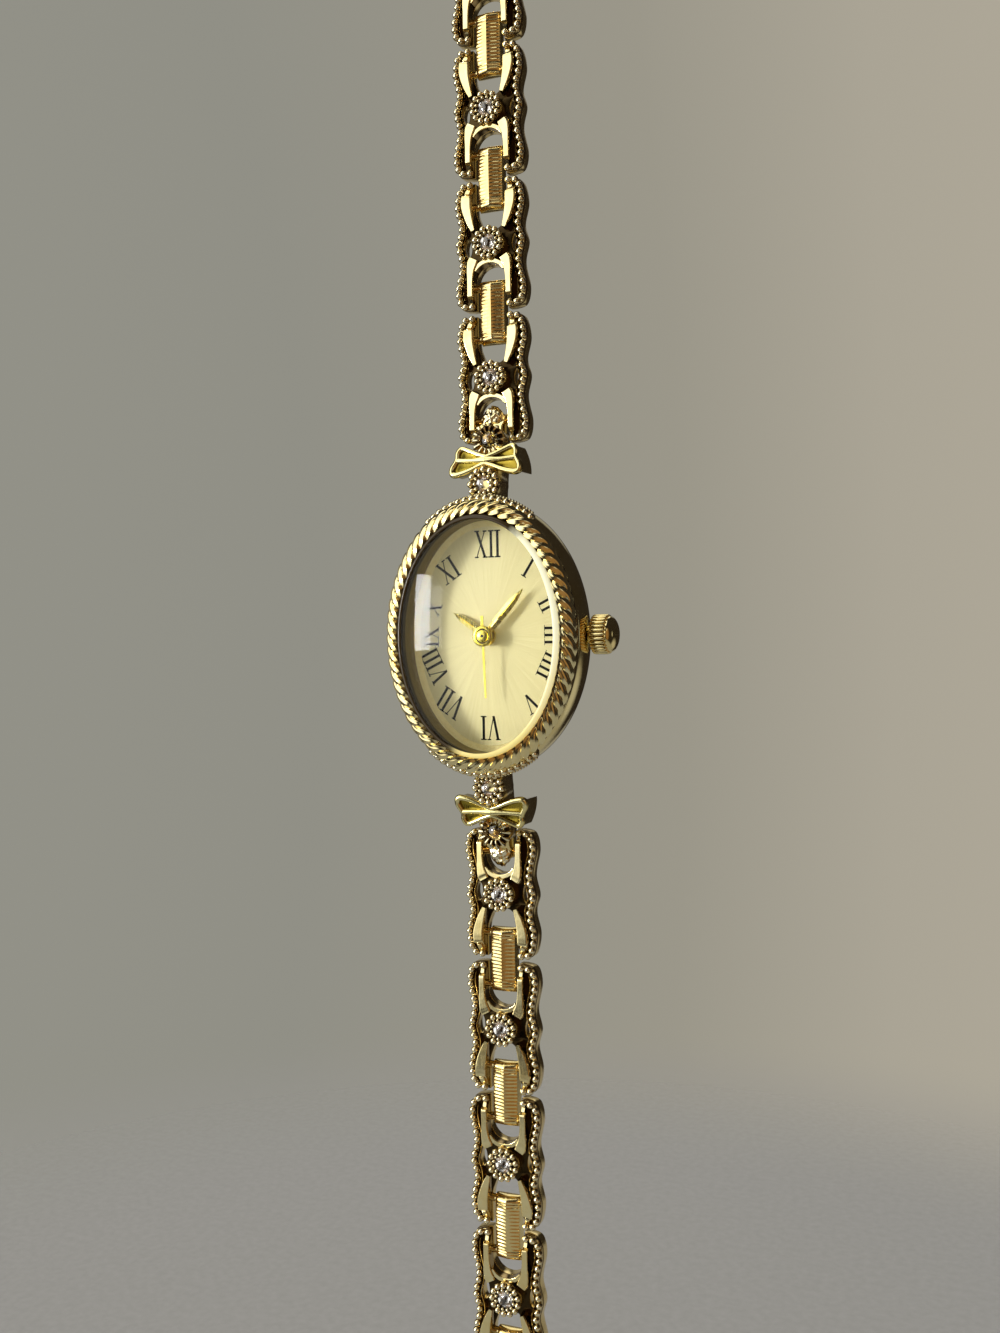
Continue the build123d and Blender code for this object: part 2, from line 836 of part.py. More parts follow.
# Cut stone with its widest edge at a height
def stone(place, height):
    levels = [(-stone_pavilion, stone_culet_share), (0, 1), (stone_crown, stone_table_share)]
    faces = [Pos(0, 0, level) * RegularPolygon(stone_radius * share, stone_facets) for level, share in levels]
    return Pos(place[0], place[1], height) * loft(faces, ruled=True)


# Cup that holds a stone, open to the front
def setting_cup(place, height):
    radius = stone_radius + seat_clearance
    return post(place, radius, height - setting_cup_depth - stone_crown, height + overrun)


def stone_height(front):
    return front - stone_crown


# Waisted outline of a link, from its shares of half width and half length
def link_outline():
    side_shares = [
        (0.60, 1.00),
        (0.88, 0.93),
        (0.99, 0.62),
        (0.88, 0.29),
        (0.98, 0.02),
        (0.88, -0.29),
        (1.00, -0.68),
        (0.90, -0.94),
        (0.60, -1.00),
    ]
    right = [(x * link_half_width, y * link_length / 2) for x, y in side_shares]
    left = [(-x, y) for x, y in right]
    edges = Spline(*right) + Line(right[-1], left[-1]) + Spline(*reversed(left)) + Line(left[0], right[0])
    return make_face(edges)


# Openings of a link: a waisted slot outwards, an arch inwards and a window on each side
def link_openings():
    end = link_length / 2 + overrun
    floor_place = setting_radius + setting_wall
    throat = slot_throat_half_width
    slot = Polygon(
        (slot_half_width, end),
        (slot_half_width, floor_place + slot_taper),
        (throat, floor_place),
        (-throat, floor_place),
        (-slot_half_width, floor_place + slot_taper),
        (-slot_half_width, end),
        align=None,
    )
    arch_place = -(floor_place + slot_half_width)
    arch = Pos(0, arch_place) * Circle(slot_half_width)
    arch += Pos(0, (arch_place - end) / 2) * Rectangle(2 * slot_half_width, end + arch_place)
    window = Ellipse(window_half_width_share * link_half_width, window_half_height_share * link_length / 2)
    window_place = window_place_share * link_half_width
    return slot + arch + Pos(window_place, 0) * window + Pos(-window_place, 0) * window


def link():
    setting_top = link_front_height + setting_rise
    body = Pos(0, 0, link_back_height) * extrude(link_outline() - link_openings(), link_thickness)
    body += post(centre, setting_radius, link_back_height, setting_top)
    half_bar = slot_half_width + crossbar_embed
    for place in (-bar_offset, bar_offset):
        body += bar(-half_bar, half_bar, place, hinge_height, crossbar_radius)
    return body - setting_cup(centre, setting_top)


def link_stone():
    return stone(centre, stone_height(link_front_height + setting_rise))


# Folded connector with a bore round each crossbar and a ridged front
def connector():
    half_reach = connector_reach / 2
    half_width = connector_width / 2
    front = hinge_height + eye_radius
    roof = Polygon((-half_width, 0), (half_width, 0), (0, connector_ridge), align=None)
    ridge = Pos(0, half_reach, front) * Rot(90, 0, 0) * extrude(roof, connector_reach)
    body = centred_block(connector_width, -half_reach, half_reach, hinge_height - eye_radius, front)
    for place in (-half_reach, half_reach):
        body += bar(-half_width, half_width, place, hinge_height, eye_radius)
    for place in (-half_reach, half_reach):
        body -= crossbar_bore(place)
    return body + ridge


def crossbar_bore(place):
    end = connector_width / 2 + overrun
    return bar(-end, end, place, hinge_height, crossbar_radius + running_clearance)


# Side of a bow's lobe as a roofed five-cornered face
def lobe_face(x, half_length):
    points = [
        (x, bow_place - half_length, bow_back_height),
        (x, bow_place + half_length, bow_back_height),
        (x, bow_place + half_length, bow_edge_height),
        (x, bow_place, bow_edge_height + bow_ridge),
        (x, bow_place - half_length, bow_edge_height),
    ]
    return make_face(Polyline(*points, close=True))


def bow():
    lobes = []
    for side in (-1, 1):
        knot = lobe_face(side * bow_knot_half_width, bow_knot_half_length)
        lobes.append(loft([knot, lobe_face(side * bow_half_width, bow_half_length)]))
    return lobes[0] + lobes[1]


# Beaded shoulder that the lug lays round the bezel's foot
def shoulder():
    outer = case_top_half_width + shoulder_width
    ring = oval_ring(outer, case_top_half_width, shoulder_low, shoulder_high)
    return ring & centred_block(2 * shoulder_half_span, 0, outer + oval_extra, shoulder_low, shoulder_high)


# Lug with two settings, a bow between them and a tongue round the first link's crossbar
def upper_lug():
    outer_end = outer_setting_place + outer_setting_radius
    side = [
        (spine_start, spine_root_low),
        (outer_setting_place - outer_setting_radius, spine_middle_low),
        (first_hinge_place, hinge_height - eye_radius),
        (first_hinge_place, hinge_height + eye_radius),
        (outer_end, outer_setting_height - setting_cup_depth - stone_crown),
        (inner_setting_place, spine_root_high),
        (spine_start, spine_root_high),
    ]
    half_width = spine_width / 2
    body = side_shape(side, spine_width)
    body += bar(-half_width, half_width, first_hinge_place, hinge_height, eye_radius)
    body += bow()
    inner = (0, inner_setting_place)
    outer = (0, outer_setting_place)
    body += post(inner, inner_setting_radius, spine_root_low, inner_setting_height)
    body += post(outer, outer_setting_radius, spine_middle_low, outer_setting_height)
    body += shoulder()
    body -= crossbar_bore(first_hinge_place)
    body -= setting_cup(inner, inner_setting_height)
    body -= setting_cup(outer, outer_setting_height)
    return body - case_body()


# Stones of both lugs
def lug_stones():
    inner = stone((0, inner_setting_place), stone_height(inner_setting_height))
    outer = stone((0, outer_setting_place), stone_height(outer_setting_height))
    return [inner, outer, half_turn(inner), half_turn(outer)]


def half_turn(shape):
    return Rot(0, 0, 180) * shape


# Hinge end of a clasp piece: a slot with a crossbar in it
def hinge_slot():
    return centred_block(
        2 * slot_half_width, clasp_start - overrun, clasp_start + hinge_slot_length, -overrun, link_front_height
    )


def hinge_crossbar():
    half_bar = slot_half_width + crossbar_embed
    return bar(-half_bar, half_bar, clasp_bar_place, hinge_height, crossbar_radius)


# Ladder: a strip with a row of slots, by whose last slot the watch hangs
def clasp_ladder():
    outline = RectangleRounded(ladder_width, ladder_length, ladder_corner)
    strip = Pos(0, clasp_start + ladder_length / 2, link_back_height) * extrude(outline, ladder_thickness)
    for slot in range(ladder_slots):
        start = clasp_start + ladder_first_slot + slot * ladder_pitch
        end = start + ladder_slot_length
        top = link_back_height + ladder_thickness + overrun
        strip -= centred_block(ladder_slot_width, start, end, -overrun, top)
    return strip - hinge_slot() + hinge_crossbar()


# Tray that takes the ladder, with a hook for its slots
def clasp_base():
    low = link_back_height
    floor_top = low + tray_floor
    wall_end = clasp_pin_place - wall_stop
    wall_start = clasp_start + hinge_slot_length
    half_width = tray_width / 2
    body = centred_block(tray_width, wall_start, clasp_start + tray_length, low, floor_top)
    for side in (-1, 1):
        edges = sorted((side * half_width, side * (half_width - tray_wall)))
        body += block((edges[0], wall_start, low), (edges[1], wall_end, low + tray_depth))
    block_top = low + ladder_thickness
    body += centred_block(ladder_width, clasp_start, clasp_start + hinge_block_length, low, block_top)
    body -= hinge_slot()
    body += hinge_crossbar()
    hook_start = clasp_start + hook_place
    hook_end = hook_start + hook_length
    hook_top = floor_top + hook_rise
    lip_low = hook_top - tray_floor / 2
    body += centred_block(hook_width, hook_start, hook_end, floor_top, hook_top)
    body += centred_block(hook_width, hook_end, hook_end + hook_lip, lip_low, hook_top)
    knuckle_end = knuckle_width / 2
    body += bar(-knuckle_end, knuckle_end, clasp_pin_place, clasp_pin_height, knuckle_radius)
    web_start = clasp_pin_place - clasp_pin_radius
    body += centred_block(knuckle_width, web_start, clasp_start + tray_length, low, clasp_pin_height)
    return body - bar(-tray_width, tray_width, clasp_pin_place, clasp_pin_height, clasp_pin_radius)


def clasp_pin():
    end = knuckle_width * 3 / 2 + knuckle_gap
    return bar(-end, end, clasp_pin_place, clasp_pin_height, clasp_pin_radius)


# Cover that folds down over the tray
def clasp_cover():
    low = link_back_height + tray_depth + cover_clearance
    end = clasp_pin_place + cover_heel
    body = centred_block(tray_width, clasp_start + cover_start, end, low, low + cover_thickness)
    room = knuckle_width / 2 + knuckle_gap
    for side in (-1, 1):
        edges = sorted((side * room, side * (room + knuckle_width)))
        body += bar(edges[0], edges[1], clasp_pin_place, clasp_pin_height, knuckle_radius)
        start = clasp_pin_place - clasp_pin_radius
        web_end = clasp_pin_place + clasp_pin_radius
        body += block((edges[0], start, clasp_pin_height), (edges[1], web_end, low))
    notch_start = clasp_pin_place - knuckle_radius - cover_clearance
    body -= centred_block(2 * room, notch_start, end + overrun, -overrun, low + cover_thickness + overrun)
    bore = clasp_pin_radius + running_clearance
    return body - bar(-tray_width, tray_width, clasp_pin_place, clasp_pin_height, bore)


# Everything with its node's name
def pieces():
    single = [
        case_middle,
        bezel,
        crystal,
        crystal_gasket,
        dial_ring,
        dial,
        case_back,
        back_gasket,
        crown_tube,
        crown,
        stem,
        sliding_pinion,
        movement_holder,
        main_plate,
        train_bridge,
        battery,
        circuit_board,
        stator,
        coil,
        rotor,
        intermediate_wheel,
        seconds_wheel,
        third_wheel,
        centre_wheel,
        minute_wheel,
        hour_wheel,
        hour_hand,
        minute_hand,
        second_hand,
        upper_lug,
        lug_stones,
        clasp_ladder,
    ]
    named = {make.__name__: make() for make in single}
    named["lower_lug"] = half_turn(named["upper_lug"])
    named["clasp_base"] = half_turn(clasp_base())
    named["clasp_pin"] = half_turn(clasp_pin())
    named["clasp_cover"] = half_turn(clasp_cover())
    cast_link = link()
    link_gem = link_stone()
    fold = connector()
    for number in range(1, links_per_side + 1):
        place = first_link_place + (number - 1) * link_pitch
        above = {
            "link": Pos(0, place, 0) * cast_link,
            "stone": Pos(0, place, 0) * link_gem,
            "connector": Pos(0, place + bar_offset + connector_reach / 2, 0) * fold,
        }
        for kind, shape in above.items():
            named[f"upper_{kind}_{number}"] = shape
            named[f"lower_{kind}_{number}"] = half_turn(shape)
    return named


# Stood up, with the hanging slot's upper edge at the origin
def stood_up(shape):
    middle = link_back_height + ladder_thickness / 2
    return Pos(0, middle, -hanging_place) * Rot(90, 0, 0) * shape


os.makedirs("parts", exist_ok=True)
for name, shape in pieces().items():
    solids = shape if isinstance(shape, list) else [shape]
    export_step(Compound(children=[stood_up(solid) for solid in solids]), f"parts/{name}.step")
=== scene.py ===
import json
from math import atan2, cos, exp, pi, radians, sin, sqrt

import bmesh
import bpy
from mathutils import Matrix, Vector, noise


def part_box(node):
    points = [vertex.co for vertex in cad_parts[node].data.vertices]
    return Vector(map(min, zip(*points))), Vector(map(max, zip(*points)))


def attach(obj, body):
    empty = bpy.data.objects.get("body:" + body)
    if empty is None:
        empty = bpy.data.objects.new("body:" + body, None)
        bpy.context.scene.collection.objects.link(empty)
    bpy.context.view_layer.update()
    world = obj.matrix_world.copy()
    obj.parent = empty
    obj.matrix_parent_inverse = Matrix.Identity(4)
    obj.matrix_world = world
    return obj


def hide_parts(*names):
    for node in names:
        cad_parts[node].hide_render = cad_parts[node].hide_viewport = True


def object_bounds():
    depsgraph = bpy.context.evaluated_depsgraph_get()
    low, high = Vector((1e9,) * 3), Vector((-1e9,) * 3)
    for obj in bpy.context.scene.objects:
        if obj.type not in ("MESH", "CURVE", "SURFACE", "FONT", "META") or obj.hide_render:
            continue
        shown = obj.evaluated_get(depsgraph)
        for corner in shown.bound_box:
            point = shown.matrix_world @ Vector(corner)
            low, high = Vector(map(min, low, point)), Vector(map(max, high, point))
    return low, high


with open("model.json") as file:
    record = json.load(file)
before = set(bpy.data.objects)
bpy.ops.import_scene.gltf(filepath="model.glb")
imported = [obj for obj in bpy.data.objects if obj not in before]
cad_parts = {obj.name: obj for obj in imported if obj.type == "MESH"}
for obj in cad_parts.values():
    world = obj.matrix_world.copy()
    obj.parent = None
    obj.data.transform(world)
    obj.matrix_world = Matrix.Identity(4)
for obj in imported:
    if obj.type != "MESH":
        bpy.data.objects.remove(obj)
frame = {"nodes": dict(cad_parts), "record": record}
cadBox = [list(corner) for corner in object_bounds()]
scene = bpy.context.scene
mm = 0.001

# Pieces are drawn in millimetres as if the watch lay on its back:
# x to 3 o'clock, y along the bracelet to 12 o'clock, z up to the dial
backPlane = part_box("case_back")[1].y
caseLow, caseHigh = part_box("case_middle")
caseHeart = (caseLow.z + caseHigh.z) / 2


def heartOf(node):
    low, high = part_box(node)
    return (low.z + high.z) / 2


def frontOf(node):
    return (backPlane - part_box(node)[0].y) / mm


# One node with its inputs: a socket is linked, anything else is set on the input itself
def addNode(tree, kind, inputs=None, **settings):
    made = tree.nodes.new(kind)
    for key, value in settings.items():
        setattr(made, key, value)
    for key, value in (inputs or {}).items():
        if isinstance(value, bpy.types.NodeSocket):
            tree.links.new(value, made.inputs[key])
        else:
            made.inputs[key].default_value = value
    return made


def startTree(name, kind, sockets, outputs):
    tree = bpy.data.node_groups.new(name, kind)
    for label, socketKind, value in sockets:
        made = tree.interface.new_socket(label, in_out="INPUT", socket_type=socketKind)
        if value is not None:
            made.default_value = value
    for label, socketKind in outputs:
        tree.interface.new_socket(label, in_out="OUTPUT", socket_type=socketKind)
    return tree, tree.nodes.new("NodeGroupInput").outputs, tree.nodes.new("NodeGroupOutput")


def mathNode(tree, operation, first, second=0.0):
    return addNode(tree, "ShaderNodeMath", {0: first, 1: second}, operation=operation).outputs[0]


def vectorNode(tree, operation, first, second=(0.0, 0.0, 0.0)):
    return addNode(tree, "ShaderNodeVectorMath", {0: first, 1: second}, operation=operation).outputs[0]


def scaledNode(tree, vector, factor):
    inputs = {0: vector, "Scale": factor}
    return addNode(tree, "ShaderNodeVectorMath", inputs, operation="SCALE").outputs[0]


def dotNode(tree, first, second):
    made = addNode(tree, "ShaderNodeVectorMath", {0: first, 1: second}, operation="DOT_PRODUCT")
    return made.outputs["Value"]


def partNode(tree, vector, axis):
    return addNode(tree, "ShaderNodeSeparateXYZ", {0: vector}).outputs[axis]


def noiseNode(tree, place, size, detail, rough=0.5):
    inputs = {"Vector": place, "Scale": size, "Detail": detail, "Roughness": rough}
    return addNode(tree, "ShaderNodeTexNoise", inputs).outputs[0]


def rangeNode(tree, value, low, high, kind="LINEAR"):
    return addNode(tree, "ShaderNodeMapRange", {0: value, 1: low, 2: high}, interpolation_type=kind).outputs[0]


def spread(tree, factor, low, high):
    return addNode(tree, "ShaderNodeMapRange", {0: factor, 3: low, 4: high}).outputs[0]


def mixNode(tree, factor, under, over):
    return addNode(tree, "ShaderNodeMix", {0: factor, 6: under, 7: over}, data_type="RGBA").outputs[2]


# Distance from an axis, from the two places across it
def awayNode(tree, first, second):
    squares = [mathNode(tree, "POWER", part, 2.0) for part in (first, second)]
    return mathNode(tree, "SQRT", mathNode(tree, "ADD", *squares))


def centredNode(tree, place, centre):
    inputs = {"Vector": place, "Location": tuple(-c for c in centre)}
    return addNode(tree, "ShaderNodeMapping", inputs).outputs[0]


def groupNode(tree, group, place):
    made = addNode(tree, "ShaderNodeGroup", {}, node_tree=group)
    tree.links.new(place, made.inputs["Place"])
    return made


# Shader groups shared by the finishes
def makeCastGroup():
    tree, given, result = startTree(
        "castSkin", "ShaderNodeTree",
        [("Place", "NodeSocketVector", None), ("Ripple Size", "NodeSocketFloat", 1400.0),
         ("Scratch Size", "NodeSocketFloat", 9000.0)],
        [("Height", "NodeSocketFloat"), ("Wear", "NodeSocketFloat"), ("Haze", "NodeSocketFloat")],
    )
    ripple = noiseNode(tree, given["Place"], given["Ripple Size"], 2.0)
    scratchPlace = vectorNode(tree, "MULTIPLY", given["Place"], (1.0, 1.0, 0.12))
    scratch = noiseNode(tree, scratchPlace, given["Scratch Size"], 3.0)
    fine = mathNode(tree, "MULTIPLY", scratch, 0.12)
    tree.links.new(mathNode(tree, "ADD", ripple, fine), result.inputs["Height"])
    patch = noiseNode(tree, given["Place"], 420.0, 5.0, 0.65)
    tree.links.new(rangeNode(tree, patch, 0.42, 0.72), result.inputs["Wear"])
    tree.links.new(rangeNode(tree, scratch, 0.35, 0.75), result.inputs["Haze"])
    return tree


def makeGrainGroup():
    tree, given, result = startTree(
        "brushedGrain", "ShaderNodeTree",
        [("Place", "NodeSocketVector", None), ("Stretch", "NodeSocketVector", (1.0, 1.0, 0.05)),
         ("Size", "NodeSocketFloat", 12000.0)],
        [("Line", "NodeSocketFloat")],
    )
    pulled = vectorNode(tree, "MULTIPLY", given["Place"], given["Stretch"])
    tree.links.new(noiseNode(tree, pulled, given["Size"], 4.0, 0.6), result.inputs["Line"])
    return tree


# Fine rings round the Y axis, and rays that fan out from it
def makeTurnedGroup():
    tree, given, result = startTree(
        "turnedRings", "ShaderNodeTree",
        [("Place", "NodeSocketVector", None), ("Rings", "NodeSocketFloat", 9000.0)],
        [("Ring", "NodeSocketFloat"), ("Sweep", "NodeSocketFloat")],
    )
    split = addNode(tree, "ShaderNodeSeparateXYZ", {0: given["Place"]}).outputs
    away = awayNode(tree, split[0], split[2])
    outward = addNode(tree, "ShaderNodeCombineXYZ", {0: mathNode(tree, "MULTIPLY", away, given["Rings"])})
    ring = noiseNode(tree, outward.outputs[0], 1.0, 2.0)
    bearing = mathNode(tree, "ARCTAN2", split[0], split[2])
    fan = addNode(tree, "ShaderNodeCombineXYZ", {0: mathNode(tree, "MULTIPLY", bearing, 34.0),
                                                 1: mathNode(tree, "MULTIPLY", away, 120.0)})
    sweep = noiseNode(tree, fan.outputs[0], 1.0, 4.0, 0.6)
    tree.links.new(ring, result.inputs["Ring"])
    tree.links.new(sweep, result.inputs["Sweep"])
    return tree


castGroup, grainGroup, turnedGroup = makeCastGroup(), makeGrainGroup(), makeTurnedGroup()


# Finishes
def startFinish(name):
    finish = bpy.data.materials.new(name)
    finish.use_nodes = True
    tree = finish.node_tree
    tree.nodes.clear()
    place = addNode(tree, "ShaderNodeTexCoord").outputs["Object"]
    coat = tree.nodes.new("ShaderNodeBsdfPrincipled")
    addNode(tree, "ShaderNodeOutputMaterial", {"Surface": coat.outputs[0]})
    return finish, tree, place, coat


def ramp(tree, factor, stops):
    made = addNode(tree, "ShaderNodeValToRGB", {0: factor})
    band = made.color_ramp
    while len(band.elements) < len(stops):
        band.elements.new(0.5)
    for element, (at, color) in zip(band.elements, stops):
        element.position = at
        element.color = (*color, 1.0)
    return made.outputs[0]


def bumpFrom(tree, coat, height, strength, depth):
    made = addNode(tree, "ShaderNodeBump", {"Height": height, "Strength": strength, "Distance": depth})
    tree.links.new(made.outputs[0], coat.inputs["Normal"])


# Colour, roughness and bump that all follow one value
def coatFrom(tree, coat, value, stops, low, high, depth, metallic=1.0, strength=1.0):
    tree.links.new(ramp(tree, value, stops), coat.inputs["Base Color"])
    tree.links.new(spread(tree, value, low, high), coat.inputs["Roughness"])
    coat.inputs["Metallic"].default_value = metallic
    bumpFrom(tree, coat, value, strength, depth)


# Cast and plated gold: ripples from polishing, hair lines and redder worn patches. Where a flank colour is
# given, the colour is split by facing as painted shade: faces turned away from the front of the watch take the
# flank colour. That is painted shade on the flanks of the bright golds, while the near-black golds are painted
# shade where they face the front
def makeGold(name, bright, deep, low, high, ripple, depth, flankColor=None):
    finish, tree, place, coat = startFinish(name)
    skin = groupNode(tree, castGroup, place)
    skin.inputs["Ripple Size"].default_value = ripple
    coat.inputs["Metallic"].default_value = 1.0
    color = ramp(tree, skin.outputs["Wear"], [(0.0, bright), (1.0, deep)])
    if flankColor:
        # painted shade: faces that turn away from the front of the watch take the flank colour
        facing = partNode(tree, tree.nodes["Texture Coordinate"].outputs["Normal"], 1)
        facesFront = rangeNode(tree, facing, -0.3, -0.75)
        color = mixNode(tree, facesFront, (*flankColor, 1.0), color)
    tree.links.new(color, coat.inputs["Base Color"])
    tree.links.new(spread(tree, skin.outputs["Haze"], low, high), coat.inputs["Roughness"])
    bumpFrom(tree, coat, skin.outputs["Height"], 1.0, depth)
    return finish


# Each gold: bright and worn colour, least and most roughness, ripples per metre, their depth, and the flank
# colour. The flank colour is painted shade on the flanks of linkGold, beadGold and bowGold. The near-black rim
# gold and ropeShade are painted shade where they face the front, with their flank colour on their sides and
# back
goldSet = {
    "polishedGold": ((0.97, 0.84, 0.44), (0.93, 0.74, 0.3), 0.06, 0.15, 900.0, 0.000014),
    "linkGold": ((0.98, 0.88, 0.5), (0.94, 0.76, 0.33), 0.08, 0.18, 900.0, 0.00001, (0.42, 0.3, 0.13)),
    "beadGold": ((1.0, 0.95, 0.68), (0.97, 0.86, 0.48), 0.12, 0.24, 2200.0, 0.00001, (0.6, 0.45, 0.22)),
    "ropeGold": ((0.98, 0.88, 0.5), (0.93, 0.74, 0.32), 0.1, 0.2, 1800.0, 0.00001),
    # near-black painted shade where it faces the front, gold on the flanks and back: the link decks and the
    # setting cups
    "blackRim": ((0.06, 0.04, 0.016), (0.03, 0.02, 0.01), 0.14, 0.26, 900.0, 0.00001, (0.82, 0.64, 0.29)),
    "ropeShade": ((0.06, 0.04, 0.016), (0.03, 0.02, 0.01), 0.14, 0.26, 900.0, 0.00001, (0.3, 0.2, 0.075)),
    "bowGold": ((0.98, 0.9, 0.46), (0.94, 0.8, 0.32), 0.12, 0.22, 1100.0, 0.00001, (0.5, 0.38, 0.1)),
    "bowPanel": ((0.4, 0.31, 0.045), (0.31, 0.22, 0.025), 0.2, 0.34, 1100.0, 0.000012),
    "connectorGold": ((0.96, 0.8, 0.38), (0.9, 0.68, 0.26), 0.14, 0.26, 900.0, 0.00001),
    "handGold": ((0.98, 0.86, 0.32), (0.94, 0.78, 0.22), 0.22, 0.34, 600.0, 0.000003),
    "needleGold": ((0.8, 0.66, 0.12), (0.72, 0.56, 0.08), 0.22, 0.34, 600.0, 0.000003),
}
golds = {name: makeGold(name, *values) for name, values in goldSet.items()}


def makeBrushed(name, bright, dark, stretch, size, low, high, depth):
    finish, tree, place, coat = startFinish(name)
    grain = groupNode(tree, grainGroup, place)
    grain.inputs["Stretch"].default_value = stretch
    grain.inputs["Size"].default_value = size
    coatFrom(tree, coat, grain.outputs["Line"], [(0.3, dark), (0.7, bright)], low, high, depth)
    return finish


# The brushed grain is drawn out along the axis that has the small factor
acrossX, alongZ = (0.05, 1.0, 1.0), (1.0, 1.0, 0.05)
steelBright, steelDark = (0.72, 0.71, 0.7), (0.5, 0.49, 0.48)
brushedSteel = makeBrushed("brushedSteel", steelBright, steelDark, acrossX, 14000.0, 0.2, 0.42, 0.000004)
satinGold = makeBrushed("satinGold", (0.84, 0.66, 0.3), (0.7, 0.52, 0.2), alongZ, 9000.0, 0.24, 0.4, 0.000003)
pinSteel = makeBrushed("pinSteel", (0.7, 0.7, 0.7), (0.48, 0.48, 0.48), alongZ, 9000.0, 0.12, 0.3, 0.000003)

dialHeart = (0.0, 0.0, caseHeart)


# Parts turned on a lathe about the dial's centre
def makeTurned(name, bright, dark, low, high, depth):
    finish, tree, place, coat = startFinish(name)
    turned = groupNode(tree, turnedGroup, centredNode(tree, place, dialHeart))
    coatFrom(tree, coat, turned.outputs["Ring"], [(0.3, dark), (0.7, bright)], low, high, depth)
    return finish


machinedBrass = makeTurned("machinedBrass", (0.82, 0.66, 0.36), (0.66, 0.5, 0.24), 0.22, 0.4, 0.000004)
cellSteel = makeTurned("cellSteel", (0.76, 0.76, 0.74), (0.6, 0.6, 0.58), 0.18, 0.34, 0.000004)


# Champagne dial: fine rays from the centre under a thin clear lacquer
def makeDialPaint():
    finish, tree, place, coat = startFinish("champagneDial")
    turned = groupNode(tree, turnedGroup, centredNode(tree, place, dialHeart))
    champagne = [(0.3, (0.76, 0.66, 0.31)), (0.7, (0.84, 0.745, 0.38))]
    coatFrom(tree, coat, turned.outputs["Sweep"], champagne, 0.45, 0.6, 0.000004, 0.08, 0.6)
    coat.inputs["Coat Weight"].default_value = 0.1
    coat.inputs["Coat Roughness"].default_value = 0.12
    return finish


def makePlain(name, bright, dark, size, low, high, depth, metallic=0.0):
    finish, tree, place, coat = startFinish(name)
    speck = noiseNode(tree, place, size, 5.0, 0.6)
    coatFrom(tree, coat, speck, [(0.35, dark), (0.65, bright)], low, high, depth, metallic)
    return finish


champagneDial = makeDialPaint()
slopeGilt = makePlain("slopeGilt", (0.9, 0.77, 0.34), (0.82, 0.67, 0.26), 2500.0, 0.3, 0.45, 0.000004, 0.1)
# dark gilt that paints the shade on the dial ring's inner wall below the glass
wallGilt = makePlain("wallGilt", (0.2, 0.14, 0.03), (0.12, 0.08, 0.015), 2500.0, 0.24, 0.4, 0.000004, 0.35)
dialInk = makePlain("dialInk", (0.012, 0.01, 0.008), (0.005, 0.004, 0.004), 5000.0, 0.5, 0.65, 0.000002)
dialInk.node_tree.nodes["Principled BSDF"].inputs["Specular IOR Level"].default_value = 0.1
sealRubber = makePlain("sealRubber", (0.03, 0.03, 0.03), (0.012, 0.012, 0.012), 6000.0, 0.6, 0.8, 0.00001)
holderPlastic = makePlain("holderPlastic", (0.8, 0.8, 0.77), (0.7, 0.7, 0.66), 3000.0, 0.4, 0.6, 0.000006)
# near-black painted shade for the gap beside the glass and for the hole and groove in the second hand's cap
darkHole = makePlain("darkHole", (0.03, 0.018, 0.008), (0.012, 0.007, 0.003), 4000.0, 0.5, 0.7, 0.000004)


# Green laminate with copper tracks under the lacquer
def makeBoard():
    finish, tree, place, coat = startFinish("circuitLaminate")
    cell = addNode(tree, "ShaderNodeTexBrick", {
        "Vector": place, "Scale": 900.0, "Mortar Size": 0.03, "Color1": (0.02, 0.16, 0.06, 1),
        "Color2": (0.015, 0.12, 0.05, 1), "Mortar": (0.35, 0.24, 0.06, 1)})
    speck = noiseNode(tree, place, 5000.0, 3.0)
    tree.links.new(cell.outputs["Color"], coat.inputs["Base Color"])
    tree.links.new(spread(tree, speck, 0.22, 0.4), coat.inputs["Roughness"])
    bumpFrom(tree, coat, cell.outputs["Fac"], 0.5, 0.00001)
    return finish


# Wire wound round the coil's axis
def makeWinding():
    finish, tree, place, coat = startFinish("coilWinding")
    inputs = {"Vector": place, "Scale": 4500.0, "Distortion": 0.6, "Detail": 1.0}
    wave = addNode(tree, "ShaderNodeTexWave", inputs, bands_direction="X").outputs["Fac"]
    copper = [(0.1, (0.2, 0.05, 0.02)), (0.8, (0.62, 0.22, 0.08))]
    coatFrom(tree, coat, wave, copper, 0.5, 0.25, 0.00002, 0.6)
    return finish


# Clear glass or stone: light passes straight through to what lies below it
def makeGlass(name, color, bend, low, high, size, depth):
    finish, tree, place, coat = startFinish(name)
    speck = noiseNode(tree, place, size, 2.0)
    coat.inputs["Base Color"].default_value = (*color, 1.0)
    coat.inputs["Transmission Weight"].default_value = 1.0
    coat.inputs["IOR"].default_value = bend
    tree.links.new(spread(tree, speck, low, high), coat.inputs["Roughness"])
    bumpFrom(tree, coat, speck, 1.0, depth)
    clear = addNode(tree, "ShaderNodeBsdfTransparent", {"Color": (*color, 1.0)}).outputs[0]
    shadow = tree.nodes.new("ShaderNodeLightPath").outputs["Is Shadow Ray"]
    mixed = addNode(tree, "ShaderNodeMixShader", {0: shadow, 1: coat.outputs[0], 2: clear})
    tree.links.new(mixed.outputs[0], tree.nodes["Material Output"].inputs["Surface"])
    return finish


# Painted light on the glass's edge: lit is the direction of the side with the painted highlight and glow, and
# narrow how much narrower than long the oval is. Pale and warm are the painted glow's colours, dark is the
# painted dark reflection of the bezel's wall, and glow is the strength of the painted glow
glassEdgeSet = {
    "lit": (0.91, 0.0, -0.41), "narrow": (1.4, 0.0, 1.0),
    "pale": (0.99, 0.95, 0.66), "warm": (0.93, 0.76, 0.28), "dark": (0.045, 0.027, 0.008), "glow": 0.3,
}
